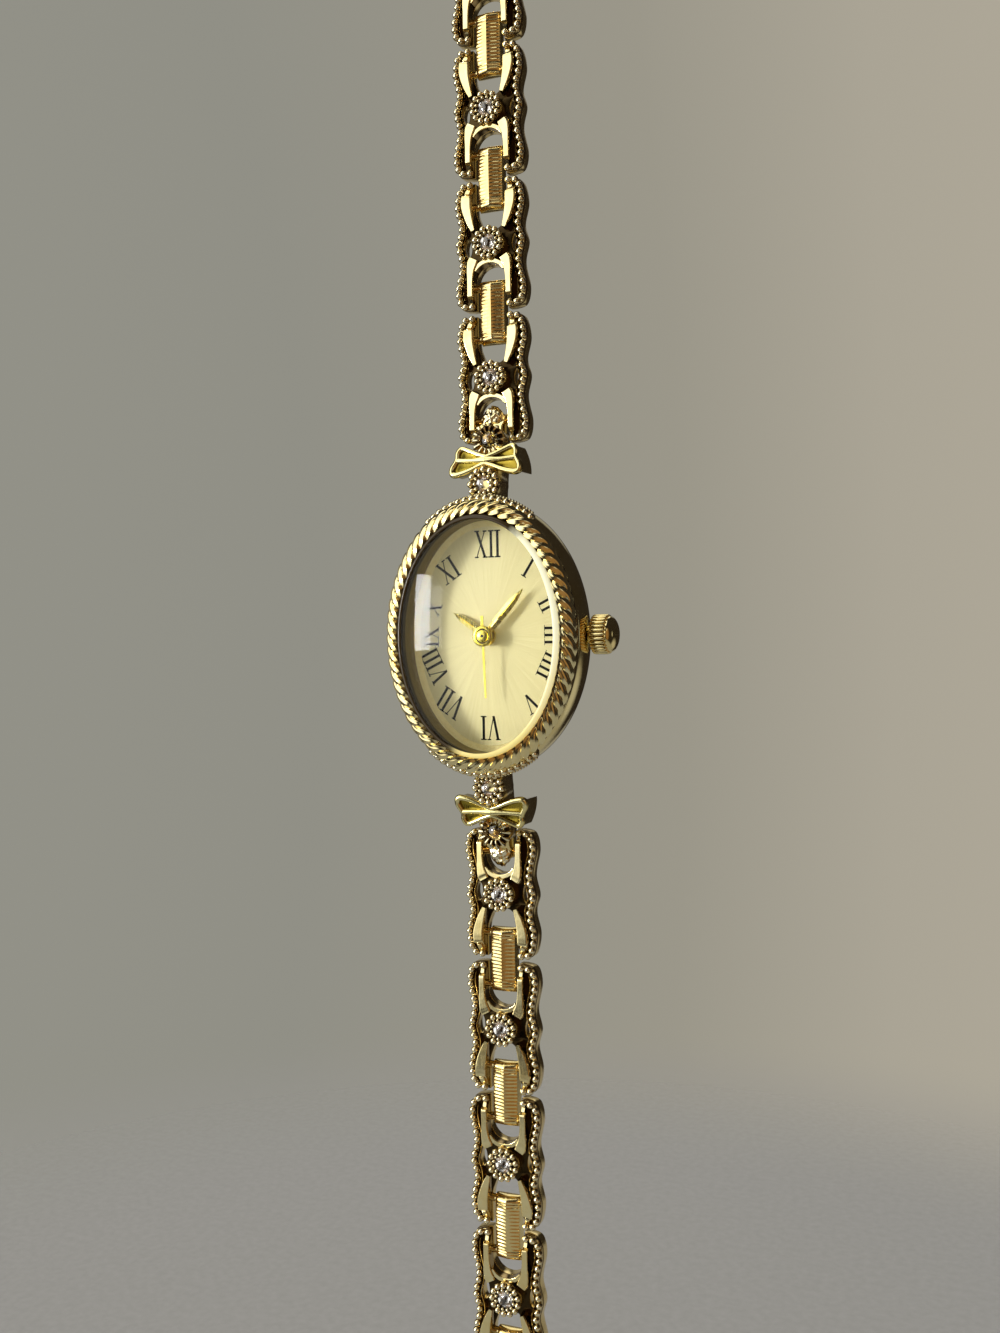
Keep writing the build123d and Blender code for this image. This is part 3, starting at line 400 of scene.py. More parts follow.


# The glass's rounded edge, all painted light: a painted highlight with a painted glow (emission) on the side
# towards the window, warmer towards the bottom, and a painted dark reflection of the bezel's wall elsewhere
def makeGlassEdge():
    finish, tree, place, coat = startFinish("glassEdge")
    oval = vectorNode(tree, "MULTIPLY", centredNode(tree, place, dialHeart), glassEdgeSet["narrow"])
    flat = vectorNode(tree, "NORMALIZE", oval)
    side = dotNode(tree, flat, glassEdgeSet["lit"])
    speck = noiseNode(tree, place, 1600.0, 3.0)
    uneven = mathNode(tree, "MULTIPLY", mathNode(tree, "SUBTRACT", speck, 0.5), 0.12)
    uneven = mathNode(tree, "ADD", side, uneven)
    warmth = rangeNode(tree, partNode(tree, flat, 2), 0.1, -0.85)
    pale = mixNode(tree, warmth, (*glassEdgeSet["pale"], 1.0), (*glassEdgeSet["warm"], 1.0))
    lit = rangeNode(tree, uneven, 0.02, 0.26, "SMOOTHSTEP")
    tree.links.new(mixNode(tree, lit, (*glassEdgeSet["dark"], 1.0), pale), coat.inputs["Base Color"])
    tree.links.new(spread(tree, speck, 0.08, 0.2), coat.inputs["Roughness"])
    coat.inputs["Specular IOR Level"].default_value = 0.35
    tree.links.new(pale, coat.inputs["Emission Color"])
    glow = mathNode(tree, "MULTIPLY", lit, glassEdgeSet["glow"])
    tree.links.new(glow, coat.inputs["Emission Strength"])
    return finish


circuitLaminate, coilWinding = makeBoard(), makeWinding()
glassEdge = makeGlassEdge()
mineralGlass = makeGlass("mineralGlass", (0.98, 0.99, 0.98), 1.22, 0.0, 0.01, 300.0, 0.0000005)
cutStone = makeGlass("cutStone", (0.97, 0.98, 1.0), 2.1, 0.0, 0.01, 2000.0, 0.0000005)
print("finishes made")


# Geometry trees
def finishTree(tree, geometry, finish, result):
    real = addNode(tree, "GeometryNodeRealizeInstances", {0: geometry})
    coated = addNode(tree, "GeometryNodeSetMaterial", {"Geometry": real.outputs[0], "Material": finish})
    tree.links.new(coated.outputs[0], result.inputs[0])
    return tree


def makeBeadTree():
    tree, given, result = startTree(
        "beadRow", "GeometryNodeTree",
        [("Geometry", "NodeSocketGeometry", None), ("Pitch", "NodeSocketFloat", 0.6),
         ("Bead Radius", "NodeSocketFloat", 0.28), ("Sides", "NodeSocketInt", 10),
         ("Finish", "NodeSocketMaterial", None)],
        [("Geometry", "NodeSocketGeometry")],
    )
    line = addNode(tree, "GeometryNodeMeshToCurve", {0: given["Geometry"]})
    inputs = {"Curve": line.outputs[0], "Length": given["Pitch"]}
    even = addNode(tree, "GeometryNodeResampleCurve", inputs, mode="LENGTH")
    inputs = {"Segments": given["Sides"], "Rings": mathNode(tree, "MULTIPLY", given["Sides"], 0.6),
              "Radius": given["Bead Radius"]}
    ball = addNode(tree, "GeometryNodeMeshUVSphere", inputs)
    tangent = tree.nodes.new("GeometryNodeInputTangent").outputs[0]
    heading = addNode(tree, "FunctionNodeAlignRotationToVector", {"Vector": tangent}, axis="X")
    placed = addNode(tree, "GeometryNodeInstanceOnPoints", {
        "Points": even.outputs[0], "Instance": ball.outputs[0], "Rotation": heading.outputs[0]})
    return finishTree(tree, placed.outputs[0], given["Finish"], result)


def makeRingTree():
    tree, given, result = startTree(
        "ribRing", "GeometryNodeTree",
        [("Geometry", "NodeSocketGeometry", None), ("Count", "NodeSocketInt", 30),
         ("Axis", "NodeSocketVector", (0.0, 0.0, 1.0)), ("Centre", "NodeSocketVector", (0.0, 0.0, 0.0)),
         ("Finish", "NodeSocketMaterial", None)],
        [("Geometry", "NodeSocketGeometry")],
    )
    dots = addNode(tree, "GeometryNodePoints", {"Count": given["Count"], "Position": given["Centre"]})
    index = tree.nodes.new("GeometryNodeInputIndex").outputs[0]
    angle = mathNode(tree, "MULTIPLY", mathNode(tree, "DIVIDE", index, given["Count"]), 2 * pi)
    turn = addNode(tree, "FunctionNodeAxisAngleToRotation", {"Axis": given["Axis"], "Angle": angle})
    placed = addNode(tree, "GeometryNodeInstanceOnPoints", {
        "Points": dots.outputs[0], "Instance": given["Geometry"], "Rotation": turn.outputs[0]})
    return finishTree(tree, placed.outputs[0], given["Finish"], result)


# Strands that wind round an oval line, each of a few wires
def makeRopeTree():
    tree, given, result = startTree(
        "ropeTwist", "GeometryNodeTree",
        [("Geometry", "NodeSocketGeometry", None), ("Half Width", "NodeSocketFloat", 8.3),
         ("Half Length", "NodeSocketFloat", 11.3), ("Height", "NodeSocketFloat", 6.2),
         ("Strands", "NodeSocketInt", 3), ("Turns", "NodeSocketFloat", 17.0),
         ("Twist Radius", "NodeSocketFloat", 0.3), ("Strand Radius", "NodeSocketFloat", 0.27),
         ("Wires", "NodeSocketInt", 8), ("Wire Depth", "NodeSocketFloat", 0.08),
         ("Steps", "NodeSocketInt", 420), ("Finish", "NodeSocketMaterial", None)],
        [("Geometry", "NodeSocketGeometry")],
    )
    circle = addNode(tree, "GeometryNodeCurvePrimitiveCircle", {"Resolution": 256, "Radius": 1.0})
    size = addNode(tree, "ShaderNodeCombineXYZ", {0: given["Half Width"], 1: given["Half Length"], 2: 1.0})
    place = addNode(tree, "ShaderNodeCombineXYZ", {2: given["Height"]})
    oval = addNode(tree, "GeometryNodeTransform", {
        "Geometry": circle.outputs[0], "Scale": size.outputs[0], "Translation": place.outputs[0]})
    inputs = {"Curve": oval.outputs[0], "Count": given["Steps"]}
    even = addNode(tree, "GeometryNodeResampleCurve", inputs, mode="COUNT")
    inputs = {"Geometry": even.outputs[0], "Amount": given["Strands"]}
    copies = addNode(tree, "GeometryNodeDuplicateElements", inputs, domain="SPLINE")
    # each strand winds sideways and upwards round the oval
    share = mathNode(tree, "DIVIDE", copies.outputs[1], given["Strands"])
    factor = tree.nodes.new("GeometryNodeSplineParameter").outputs[0]
    along = mathNode(tree, "MULTIPLY", factor, given["Turns"])
    turn = mathNode(tree, "MULTIPLY", mathNode(tree, "ADD", along, share), 2 * pi)
    tangent = tree.nodes.new("GeometryNodeInputTangent").outputs[0]
    outward = vectorNode(tree, "NORMALIZE", vectorNode(tree, "CROSS_PRODUCT", tangent, (0.0, 0.0, 1.0)))
    sideways = mathNode(tree, "MULTIPLY", mathNode(tree, "COSINE", turn), given["Twist Radius"])
    upward = mathNode(tree, "MULTIPLY", mathNode(tree, "SINE", turn), given["Twist Radius"])
    lift = addNode(tree, "ShaderNodeCombineXYZ", {2: upward}).outputs[0]
    offset = vectorNode(tree, "ADD", scaledNode(tree, outward, sideways), lift)
    wound = addNode(tree, "GeometryNodeSetPosition", {"Geometry": copies.outputs[0], "Offset": offset})
    upright = addNode(tree, "GeometryNodeSetCurveNormal", {"Curve": wound.outputs[0]}, mode="Z_UP")
    # a strand's section swells once for each wire, with four points to a wire
    sides = mathNode(tree, "MULTIPLY", given["Wires"], 4.0)
    inputs = {"Resolution": sides, "Radius": given["Strand Radius"]}
    section = addNode(tree, "GeometryNodeCurvePrimitiveCircle", inputs)
    index = tree.nodes.new("GeometryNodeInputIndex").outputs[0]
    wave = mathNode(tree, "COSINE", mathNode(tree, "MULTIPLY", index, pi / 2))
    swell = mathNode(tree, "ADD", mathNode(tree, "MULTIPLY", wave, given["Wire Depth"]), 1.0)
    lobed = scaledNode(tree, tree.nodes.new("GeometryNodeInputPosition").outputs[0], swell)
    profile = addNode(tree, "GeometryNodeSetPosition", {"Geometry": section.outputs[0], "Position": lobed})
    inputs = {"Curve": upright.outputs[0], "Profile Curve": profile.outputs[0]}
    solid = addNode(tree, "GeometryNodeCurveToMesh", inputs)
    return finishTree(tree, solid.outputs[0], given["Finish"], result)


beadTree, ringTree, ropeTree = makeBeadTree(), makeRingTree(), makeRopeTree()


# Shapes: lists of points and faces in millimetres, with the finish they are made of
def readMesh(mesh, finish, smooth=True, weld=0.0005):
    clay = bmesh.new()
    clay.from_mesh(mesh)
    bmesh.ops.remove_doubles(clay, verts=clay.verts, dist=weld)
    bmesh.ops.recalc_face_normals(clay, faces=clay.faces)
    clay.verts.index_update()
    points = [tuple(v.co) for v in clay.verts]
    faces = [[v.index for v in face.verts] for face in clay.faces]
    clay.free()
    bpy.data.meshes.remove(mesh)
    return (points, faces, finish, smooth)


def closedShape(points, faces, finish, smooth=True, weld=0.0005):
    mesh = bpy.data.meshes.new("clay")
    mesh.from_pydata(points, [], faces)
    return readMesh(mesh, finish, smooth, weld)


def moved(shape, change):
    points, faces, finish, smooth = shape
    return ([change(*point) for point in points], faces, finish, smooth)


# Runs a geometry tree over a mesh and gives back the plain result
def grown(points, edges, faces, tree, finish, **values):
    mesh = bpy.data.meshes.new("seed")
    mesh.from_pydata(points, edges, faces)
    host = bpy.data.objects.new("seed", mesh)
    scene.collection.objects.link(host)
    modifier = host.modifiers.new("grow", "NODES")
    modifier.node_group = tree
    values["finish"] = finish
    for item in tree.interface.items_tree:
        key = item.name[0].lower() + item.name[1:].replace(" ", "")
        if item.item_type == "SOCKET" and item.in_out == "INPUT" and key in values:
            modifier[item.identifier] = values[key]
    result = bpy.data.meshes.new_from_object(host.evaluated_get(bpy.context.evaluated_depsgraph_get()))
    host.modifiers.remove(modifier)
    bpy.data.objects.remove(host)
    bpy.data.meshes.remove(mesh)
    return readMesh(result, finish)


# Beads along open or closed lines of points
def beadRows(lines, pitch, radius, closed=False, sides=10):
    points, edges = [], []
    for line in lines:
        start = len(points)
        points += line
        edges += [(start + n, start + n + 1) for n in range(len(line) - 1)]
        if closed:
            edges.append((len(points) - 1, start))
    return grown(points, edges, [], beadTree, golds["beadGold"], pitch=pitch, beadRadius=radius, sides=sides)


# Angles of evenly spaced steps round a circle
def roundTurns(steps, shift=0.0):
    return [2 * pi * (n + shift) / steps for n in range(steps)]


def evenSteps(start, end, steps):
    return [start + (end - start) * n / steps for n in range(steps + 1)]


def turnedPlace(x, y, turn):  # clockwise, as hands turn
    return (x * cos(turn) + y * sin(turn), -x * sin(turn) + y * cos(turn))


# Smooth line through given points, which may carry a width and a height with them
def throughPoints(stops, steps=8):
    last = len(stops) - 1
    line = []
    for n in range(last):
        four = [stops[min(max(n + k, 0), last)] for k in (-1, 0, 1, 2)]
        for step in range(steps):
            t = step / steps
            weights = (-0.5 * t + t * t - 0.5 * t ** 3, 1 - 2.5 * t * t + 1.5 * t ** 3,
                       0.5 * t + 2 * t * t - 1.5 * t ** 3, -0.5 * t * t + 0.5 * t ** 3)
            line.append(tuple(sum(w * part for w, part in zip(weights, parts)) for parts in zip(*four)))
    line.append(tuple(stops[-1]))
    return line


# Faces of a tube: each row of points goes once round it
def tubeFaces(rows, sides):
    faces = []
    for n in range(rows - 1):
        for k in range(sides):
            m = (k + 1) % sides
            faces.append([n * sides + k, n * sides + m, (n + 1) * sides + m, (n + 1) * sides + k])
    return faces


# Faces of a closed slab: each row holds the points of its upper side and then those of its lower side
def slabFaces(spans, across):
    row = 2 * (across + 1)
    faces = []
    for n in range(spans):
        a, b = n * row, (n + 1) * row
        for k in range(across):
            faces.append([a + k, a + k + 1, b + k + 1, b + k])
            faces.append([a + across + 1 + k, b + across + 1 + k, b + across + 2 + k, a + across + 2 + k])
        for k, m in ((0, across + 1), (across, 2 * across + 1)):
            faces.append([a + k, b + k, b + m, a + m])
    for base in (0, spans * row):
        for k in range(across):
            faces.append([base + k, base + k + 1, base + across + 2 + k, base + across + 1 + k])
    return faces


# Loft through ovals given as (half width, half length, height), with closed ends or closed round
def ovalLoft(rings, finish, steps=160, ringed=False, centre=(0.0, 0.0)):
    points, faces = [], []
    for halfWidth, halfLength, height in rings:
        for turn in roundTurns(steps):
            points.append((centre[0] + halfWidth * cos(turn), centre[1] + halfLength * sin(turn), height))
    spans = len(rings) if ringed else len(rings) - 1
    for r in range(spans):
        low, high = r * steps, (r + 1) % len(rings) * steps
        for n in range(steps):
            m = (n + 1) % steps
            faces.append([low + n, low + m, high + m, high + n])
    if not ringed:
        for ring, base in ((0, 0), (len(rings) - 1, (len(rings) - 1) * steps)):
            if rings[ring][0] > 0.001:
                points.append((*centre, rings[ring][2]))
                faces += [[len(points) - 1, base + n, base + (n + 1) % steps] for n in range(steps)]
    return closedShape(points, faces, finish)


def lathe(profile, finish, centre=(0.0, 0.0), steps=40):
    return ovalLoft([(radius, radius, height) for radius, height in profile], finish, steps, False, centre)


# Sweeps a flat section along a line; each stop is (x, y, z, width, height)
def sweep(stops, section, finish):
    points = []
    count, sides = len(stops), len(section)
    for n in range(count):
        here = Vector(stops[n][:3])
        ahead = Vector(stops[min(n + 1, count - 1)][:3]) - Vector(stops[max(n - 1, 0)][:3])
        side = ahead.cross(Vector((0, 0, 1))).normalized()
        lift = side.cross(ahead).normalized()
        for u, v in section:
            points.append(tuple(here + side * u * stops[n][3] + lift * v * stops[n][4]))
    faces = tubeFaces(count, sides)
    for base in (0, (count - 1) * sides):
        points.append(tuple(sum((Vector(p) for p in points[base:base + sides]), Vector()) / sides))
        faces += [[len(points) - 1, base + k, base + (k + 1) % sides] for k in range(sides)]
    return closedShape(points, faces, finish)


roundSection = [(cos(turn) / 2, sin(turn) / 2) for turn in roundTurns(14)]
flatSection = [(-0.5, -0.5), (0.5, -0.5), (0.5, 0.34), (0.48, 0.43), (0.43, 0.48), (0.37, 0.5), (0.33, 0.5),
               (-0.33, 0.5), (-0.37, 0.5), (-0.43, 0.48), (-0.48, 0.43), (-0.5, 0.34)]


# Flat plate with holes and rounded edges, from closed outlines
def plate(outlines, low, high, finish, soft=0.12, rounds=3):
    curve = bpy.data.curves.new("outline", "CURVE")
    curve.dimensions, curve.fill_mode = "2D", "BOTH"
    curve.extrude = (high - low) / 2 - soft
    curve.bevel_depth, curve.bevel_resolution, curve.offset = soft, rounds, -soft
    for outline in outlines:
        spline = curve.splines.new("POLY")
        spline.points.add(len(outline) - 1)
        for spot, point in zip(spline.points, outline):
            spot.co = (point[0], point[1], 0.0, 1.0)
        spline.use_cyclic_u = True
    host = bpy.data.objects.new("outline", curve)
    scene.collection.objects.link(host)
    mesh = bpy.data.meshes.new_from_object(host.evaluated_get(bpy.context.evaluated_depsgraph_get()))
    bpy.data.objects.remove(host)
    bpy.data.curves.remove(curve)
    mesh.transform(Matrix.Translation((0, 0, (low + high) / 2)))
    return readMesh(mesh, finish)


def prism(outline, low, high, finish):
    count = len(outline)
    points = [(x, y, low) for x, y in outline] + [(x, y, high) for x, y in outline]
    faces = [list(range(count))[::-1], list(range(count, 2 * count))]
    faces += [[n, (n + 1) % count, count + (n + 1) % count, count + n] for n in range(count)]
    return closedShape(points, faces, finish, False)


def onSide(shape):  # a plate drawn in y and z is stood up across x
    return moved(shape, lambda x, y, z: (z, x, y))


# Joins shapes into one piece in the frame of the watch
def makePiece(name, shapes, body, along=caseHeart, turned=False, stands=(), sharp=40.0):
    side = -mm if turned else mm
    points, faces, indexes, smooths, finishes = [], [], [], [], []
    for shapePoints, shapeFaces, finish, smooth in shapes:
        base = len(points)
        if finish not in finishes:
            finishes.append(finish)
        points += [(side * x, backPlane - z * mm, along + side * y) for x, y, z in shapePoints]
        faces += [[base + n for n in face] for face in shapeFaces]
        indexes += [finishes.index(finish)] * len(shapeFaces)
        smooths += [smooth] * len(shapeFaces)
    mesh = bpy.data.meshes.new(name)
    mesh.from_pydata(points, [], faces)
    for finish in finishes:
        mesh.materials.append(finish)
    mesh.polygons.foreach_set("material_index", indexes)
    mesh.polygons.foreach_set("use_smooth", smooths)
    mesh.set_sharp_from_angle(angle=radians(sharp))
    mesh.update()
    piece = bpy.data.objects.new(name, mesh)
    scene.collection.objects.link(piece)
    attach(piece, body)
    if stands:
        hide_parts(*stands)
    return piece


# Camera and light
cameraSet = {"place": (0.04388, -0.10648, 0.00012), "aim": (0.00009, -0.00252, 0.00012), "roll": 0.96,
             "lens": 34.0, "sensor": 36.0, "shift": (0.0071, -0.0239), "clip": (0.005, 20.0)}
roomHeart = Vector((0, 0, caseHeart))


def makeCamera():
    lens = bpy.data.cameras.new("viewer")
    lens.lens, lens.sensor_width = cameraSet["lens"], cameraSet["sensor"]
    lens.shift_x, lens.shift_y = cameraSet["shift"]
    lens.clip_start, lens.clip_end = cameraSet["clip"]
    eye = bpy.data.objects.new("viewer", lens)
    scene.collection.objects.link(eye)
    start = Vector(cameraSet["place"]) + roomHeart
    aim = Vector(cameraSet["aim"]) + roomHeart
    facing = (aim - start).to_track_quat("-Z", "Y").to_matrix().to_4x4()
    roll = Matrix.Rotation(-radians(cameraSet["roll"]), 4, "Z")
    eye.matrix_world = Matrix.Translation(start) @ facing @ roll
    scene.camera = eye


windowSet = {"bearing": 42.0, "rise": 4.2, "away": 1.0, "size": (0.105, 0.23), "power": 3.3}


def makeWindow():
    lamp = bpy.data.lights.new("window", "AREA")
    lamp.shape, lamp.energy = "RECTANGLE", windowSet["power"]
    lamp.size, lamp.size_y = windowSet["size"]
    holder = bpy.data.objects.new("window", lamp)
    scene.collection.objects.link(holder)
    bearing, rise = radians(windowSet["bearing"]), radians(windowSet["rise"])
    toward = Vector((-sin(bearing) * cos(rise), -cos(bearing) * cos(rise), sin(rise)))
    facing = toward.to_track_quat("Z", "Y").to_matrix().to_4x4()
    holder.matrix_world = Matrix.Translation(toward * windowSet["away"] + roomHeart) @ facing


# The wall's colours run from left to right. Each glow has its direction, its inner and outer angle,
# how much it is squeezed in height, and its colour; later ones lie over earlier ones
roomSet = {
    "dark": (0.022, 0.017, 0.013), "plain": (0.62, 0.62, 0.62), "across": (-0.7, 0.0),
    "wall": [(0.07, (0.288, 0.283, 0.244)), (0.27, (0.282, 0.277, 0.238)), (0.65, (0.327, 0.308, 0.252)),
             (0.87, (0.402, 0.371, 0.301)), (1.0, (0.42, 0.385, 0.31))],
    "glows": [
        ((-0.7, 0.72, 0.0), 18, 34, 1.0, (0.3, 0.29, 0.265)),
        ((0.6, -0.8, 0.0), 20, 42, 1.0, (0.27, 0.15, 0.06)),
        ((-0.72, -0.67, 0.2), 25, 40, 1.0, (1.75, 1.69, 1.54)),
        ((-0.35, -0.3, 1.0), 14, 30, 1.0, (1.6, 1.55, 1.42)),
        ((0.55, -0.8, 0.45), 5, 11, 1.0, (0.8, 0.76, 0.68)),
        ((0.93, 0.36, 0.0), 1, 3, 0.3, (0.7, 0.67, 0.6)),
        ((0.62, 0.62, -0.48), 8, 24, 1.0, (0.42, 0.4, 0.36)),
        ((-0.1, 0.92, -0.4), 6, 13, 1.0, (0.28, 0.27, 0.245)),
        ((-0.1, 0.92, 0.4), 6, 13, 1.0, (0.28, 0.27, 0.245)),
        ((-0.2, 0.7, 0.8), 8, 20, 1.0, (1.2, 1.17, 1.1)),
    ],
}


# The room that metal and glass show: dark behind the viewer, a pale window wall on the left, plain grey behind
def makeRoom():
    world = bpy.data.worlds.new("studio")
    scene.world = world
    world.use_nodes = True
    tree = world.node_tree
    tree.nodes.clear()
    way = vectorNode(tree, "NORMALIZE", addNode(tree, "ShaderNodeTexCoord").outputs["Generated"])
    seen = (*roomSet["dark"], 1.0)
    for direction, inner, outer, tall, color in roomSet["glows"]:
        aimed = Vector((direction[0], direction[1], direction[2] * tall)).normalized()
        squeezed = vectorNode(tree, "NORMALIZE", vectorNode(tree, "MULTIPLY", way, (1.0, 1.0, tall)))
        near = dotNode(tree, squeezed, tuple(aimed))
        glow = rangeNode(tree, near, cos(radians(outer)), cos(radians(inner)), "SMOOTHSTEP")
        seen = mixNode(tree, glow, seen, (*color, 1.0))
    wall = ramp(tree, rangeNode(tree, partNode(tree, way, 0), *roomSet["across"]), roomSet["wall"])
    path = tree.nodes.new("ShaderNodeLightPath").outputs
    mirrored = mathNode(tree, "MAXIMUM", path["Is Glossy Ray"], path["Is Transmission Ray"])
    mirrored = mathNode(tree, "MULTIPLY", mirrored, mathNode(tree, "LESS_THAN", path["Diffuse Depth"], 0.5))
    light = mixNode(tree, mirrored, (*roomSet["plain"], 1.0), seen)
    shown = mixNode(tree, path["Is Camera Ray"], light, wall)
    sky = addNode(tree, "ShaderNodeBackground", {"Color": shown, "Strength": 1.0})
    addNode(tree, "ShaderNodeOutputWorld", {0: sky.outputs[0]})


floorSet = {"radius": 170.0, "gap": 4.0, "fade": (90.0, 168.0), "steps": 96, "rough": 0.7,
            "dark": (0.42, 0.405, 0.37), "pale": (0.46, 0.445, 0.41)}


# Pale round floor below the watch, fading out at its edge
def makeFloor():
    level, radius = cadBox[0][2] - floorSet["gap"] * mm, floorSet["radius"] * mm
    steps = floorSet["steps"]
    points = [(0.0, 0.0, level)]
    points += [(radius * cos(turn), radius * sin(turn), level) for turn in roundTurns(steps)]
    mesh = bpy.data.meshes.new("floor")
    mesh.from_pydata(points, [], [[0, n + 1, (n + 1) % steps + 1] for n in range(steps)])
    floor = bpy.data.objects.new("floor", mesh)
    scene.collection.objects.link(floor)
    finish, tree, place, coat = startFinish("paleFloor")
    speck = noiseNode(tree, place, 900.0, 4.0)
    paint = ramp(tree, speck, [(0.3, floorSet["dark"]), (0.7, floorSet["pale"])])
    tree.links.new(paint, coat.inputs["Base Color"])
    coat.inputs["Roughness"].default_value = floorSet["rough"]
    split = addNode(tree, "ShaderNodeSeparateXYZ", {0: place}).outputs
    near, far = floorSet["fade"]
    inputs = {0: awayNode(tree, split[0], split[1]), 1: near * mm, 2: far * mm, 3: 1.0, 4: 0.0}
    fade = addNode(tree, "ShaderNodeMapRange", inputs, interpolation_type="SMOOTHSTEP").outputs[0]
    tree.links.new(fade, coat.inputs["Alpha"])
    mesh.materials.append(finish)


makeCamera()
makeWindow()
makeRoom()
makeFloor()
scene.view_settings.view_transform = "Standard"
print("camera, light and floor made")


# Case and bezel, whose ovals are this much longer than wide on each side of the centre
ovalExtra = 3.0


def ring(halfWidth, height):
    return (halfWidth, halfWidth + ovalExtra, height)


def ovalBand(outline, finish, steps=200):
    return ovalLoft([ring(*stop) for stop in outline], finish, steps, True)


# Outlines are half widths and heights
caseSet = {
    "side": ((8.3, 0.3), (9.15, 3.0), (8.85, 5.1)), "levels": 18, "edge": [(8.82, 5.06), (8.75, 5.1)],
    "inside": [(7.45, 5.1), (7.45, 4.85), (7.75, 4.85), (7.75, 0.8), (8.0, 0.78), (8.15, 0.6), (8.17, 0.3)],
}


# The side bulges along the parabola through its three places
def makeCase():
    (w0, z0), (w1, z1), (w2, z2) = caseSet["side"]
    outline = []
    for n in range(caseSet["levels"]):
        z = z0 + (z2 - z0) * n / caseSet["levels"]
        a = (z - z1) * (z - z2) / ((z0 - z1) * (z0 - z2))
        b = (z - z0) * (z - z2) / ((z1 - z0) * (z1 - z2))
        c = (z - z0) * (z - z1) / ((z2 - z0) * (z2 - z1))
        outline.append((w0 * a + w1 * b + w2 * c, z))
    side = ovalBand(outline + caseSet["edge"] + caseSet["inside"], golds["polishedGold"])
    makePiece("caseSide", [side], "case", stands=["case_middle"])


bezelSet = {
    "rope": 8.38, "height": 6.2, "turns": 20.0, "twist": 0.36, "strand": 0.36, "strands": 3, "wires": 6,
    "wireDepth": 0.1, "steps": 480, "lean": 32.0, "along": 1.12, "across": 0.62,
    "core": [(8.85, 5.1), (8.88, 5.5), (8.8, 5.62), (8.74, 5.8), (8.7, 6.0), (8.5, 6.2), (8.2, 6.3),
             (7.92, 6.4), (7.82, 6.6), (7.76, 6.62), (7.72, 6.56), (7.71, 6.2), (7.62, 6.2), (7.62, 5.65),
             (7.37, 5.65), (7.37, 5.1)],
}


# Presses the round rope flat on the bezel's slope, which falls outward
def pressRope(x, y, z):
    half, long, height = ring(bezelSet["rope"], bezelSet["height"])
    lean = radians(bezelSet["lean"])
    turn = atan2(y / long, x / half)
    foot = Vector((half * cos(turn), long * sin(turn)))
    out = Vector((cos(turn) / half, sin(turn) / long)).normalized()
    away = (Vector((x, y)) - foot).dot(out)
    up = z - height
    slope = (away * cos(lean) - up * sin(lean)) * bezelSet["along"]
    lift = (away * sin(lean) + up * cos(lean)) * bezelSet["across"]
    shift = out * (slope * cos(lean) + lift * sin(lean) - away)
    return (x + shift.x, y + shift.y, height - slope * sin(lean) + lift * cos(lean))


def makeBezel():
    half, long, height = ring(bezelSet["rope"], bezelSet["height"])
    rope = grown([(0, 0, 0)], [], [], ropeTree, golds["ropeGold"], halfWidth=half, halfLength=long,
                 height=height, strands=bezelSet["strands"], turns=bezelSet["turns"],
                 twistRadius=bezelSet["twist"], strandRadius=bezelSet["strand"], wires=bezelSet["wires"],
                 wireDepth=bezelSet["wireDepth"], steps=bezelSet["steps"])
    # the bezel's core under the rope is near-black painted shade between the strands where it faces the front
    shapes = [ovalBand(bezelSet["core"], golds["ropeShade"]), moved(rope, pressRope)]
    makePiece("ropeBezel", shapes, "case", stands=["bezel"], sharp=60.0)


dialRingSet = {
    "slope": [(6.8, 3.585), (7.34, 3.9), (7.7, 3.9), (7.7, 3.575)],
    "wall": [(7.33, 3.9), (7.345, 5.5), (7.366, 5.5), (7.366, 3.9)],
    "gap": [(7.345, 5.5), (7.35, 5.957), (7.58, 5.957), (7.58, 5.952), (7.366, 5.952), (7.366, 5.5)],
}


def makeDialRing():
    # the wall and the gap are painted shade; the slope is pale gilt
    finishes = {"slope": slopeGilt, "wall": wallGilt, "gap": darkHole}
    shapes = [ovalBand(dialRingSet[band], finish) for band, finish in finishes.items()]
    makePiece("dialSlope", shapes, "case", stands=["dial_ring"])


crystalSet = {
    "seat": 5.965, "edge": 6.86, "half": 7.6, "rise": 0.84, "hollow": 7.37, "hollowRise": 1.0, "play": 0.02,
    "round": 0.06, "levels": 24, "steps": 160,
    "shoulder": [(7.7, 6.2), (7.69, 6.62), (7.66, 6.78), (7.58, 6.91), (7.48, 6.98), (7.38, 7.0), (7.3, 6.99),
                 (7.24, 6.965), (7.24, 6.94), (7.57, 6.8), (7.62, 6.2)],
}


# How high a dome is above its foot at this radius
def domeRise(half, rise, radius):
    ball = (half ** 2 + rise ** 2) / (2 * rise)
    return sqrt(ball ** 2 - radius ** 2) - (ball - rise)


# Domed glass of two shells, thicker in the middle
def makeCrystal():
    half, edge, seat, hollow = (crystalSet[key] for key in ("half", "edge", "seat", "hollow"))
    side, top, levels = half - crystalSet["play"], half - crystalSet["round"], crystalSet["levels"]
    outer = [(side, seat), (side, edge - crystalSet["round"]), (top, edge)]
    for n in range(1, levels + 1):
        radius = top * cos(pi / 2 * n / levels)
        outer.append((radius, edge + domeRise(half, crystalSet["rise"], radius)))
    rings = [(radius, radius * (half + ovalExtra) / half, z) for radius, z in outer]
    for n in range(levels, -1, -1):
        radius = hollow * cos(pi / 2 * n / levels)
        z = seat + domeRise(hollow, crystalSet["hollowRise"], radius)
        rings.append((radius, radius * (hollow + ovalExtra) / hollow, z))
    shapes = [ovalLoft(rings, mineralGlass, crystalSet["steps"], True),
              ovalBand(crystalSet["shoulder"], glassEdge, crystalSet["steps"])]
    makePiece("domedGlass", shapes, "case", stands=["crystal"], sharp=30.0)


makeCase()
makeBezel()
makeDialRing()
makeCrystal()
print("case, rope bezel and glass made")


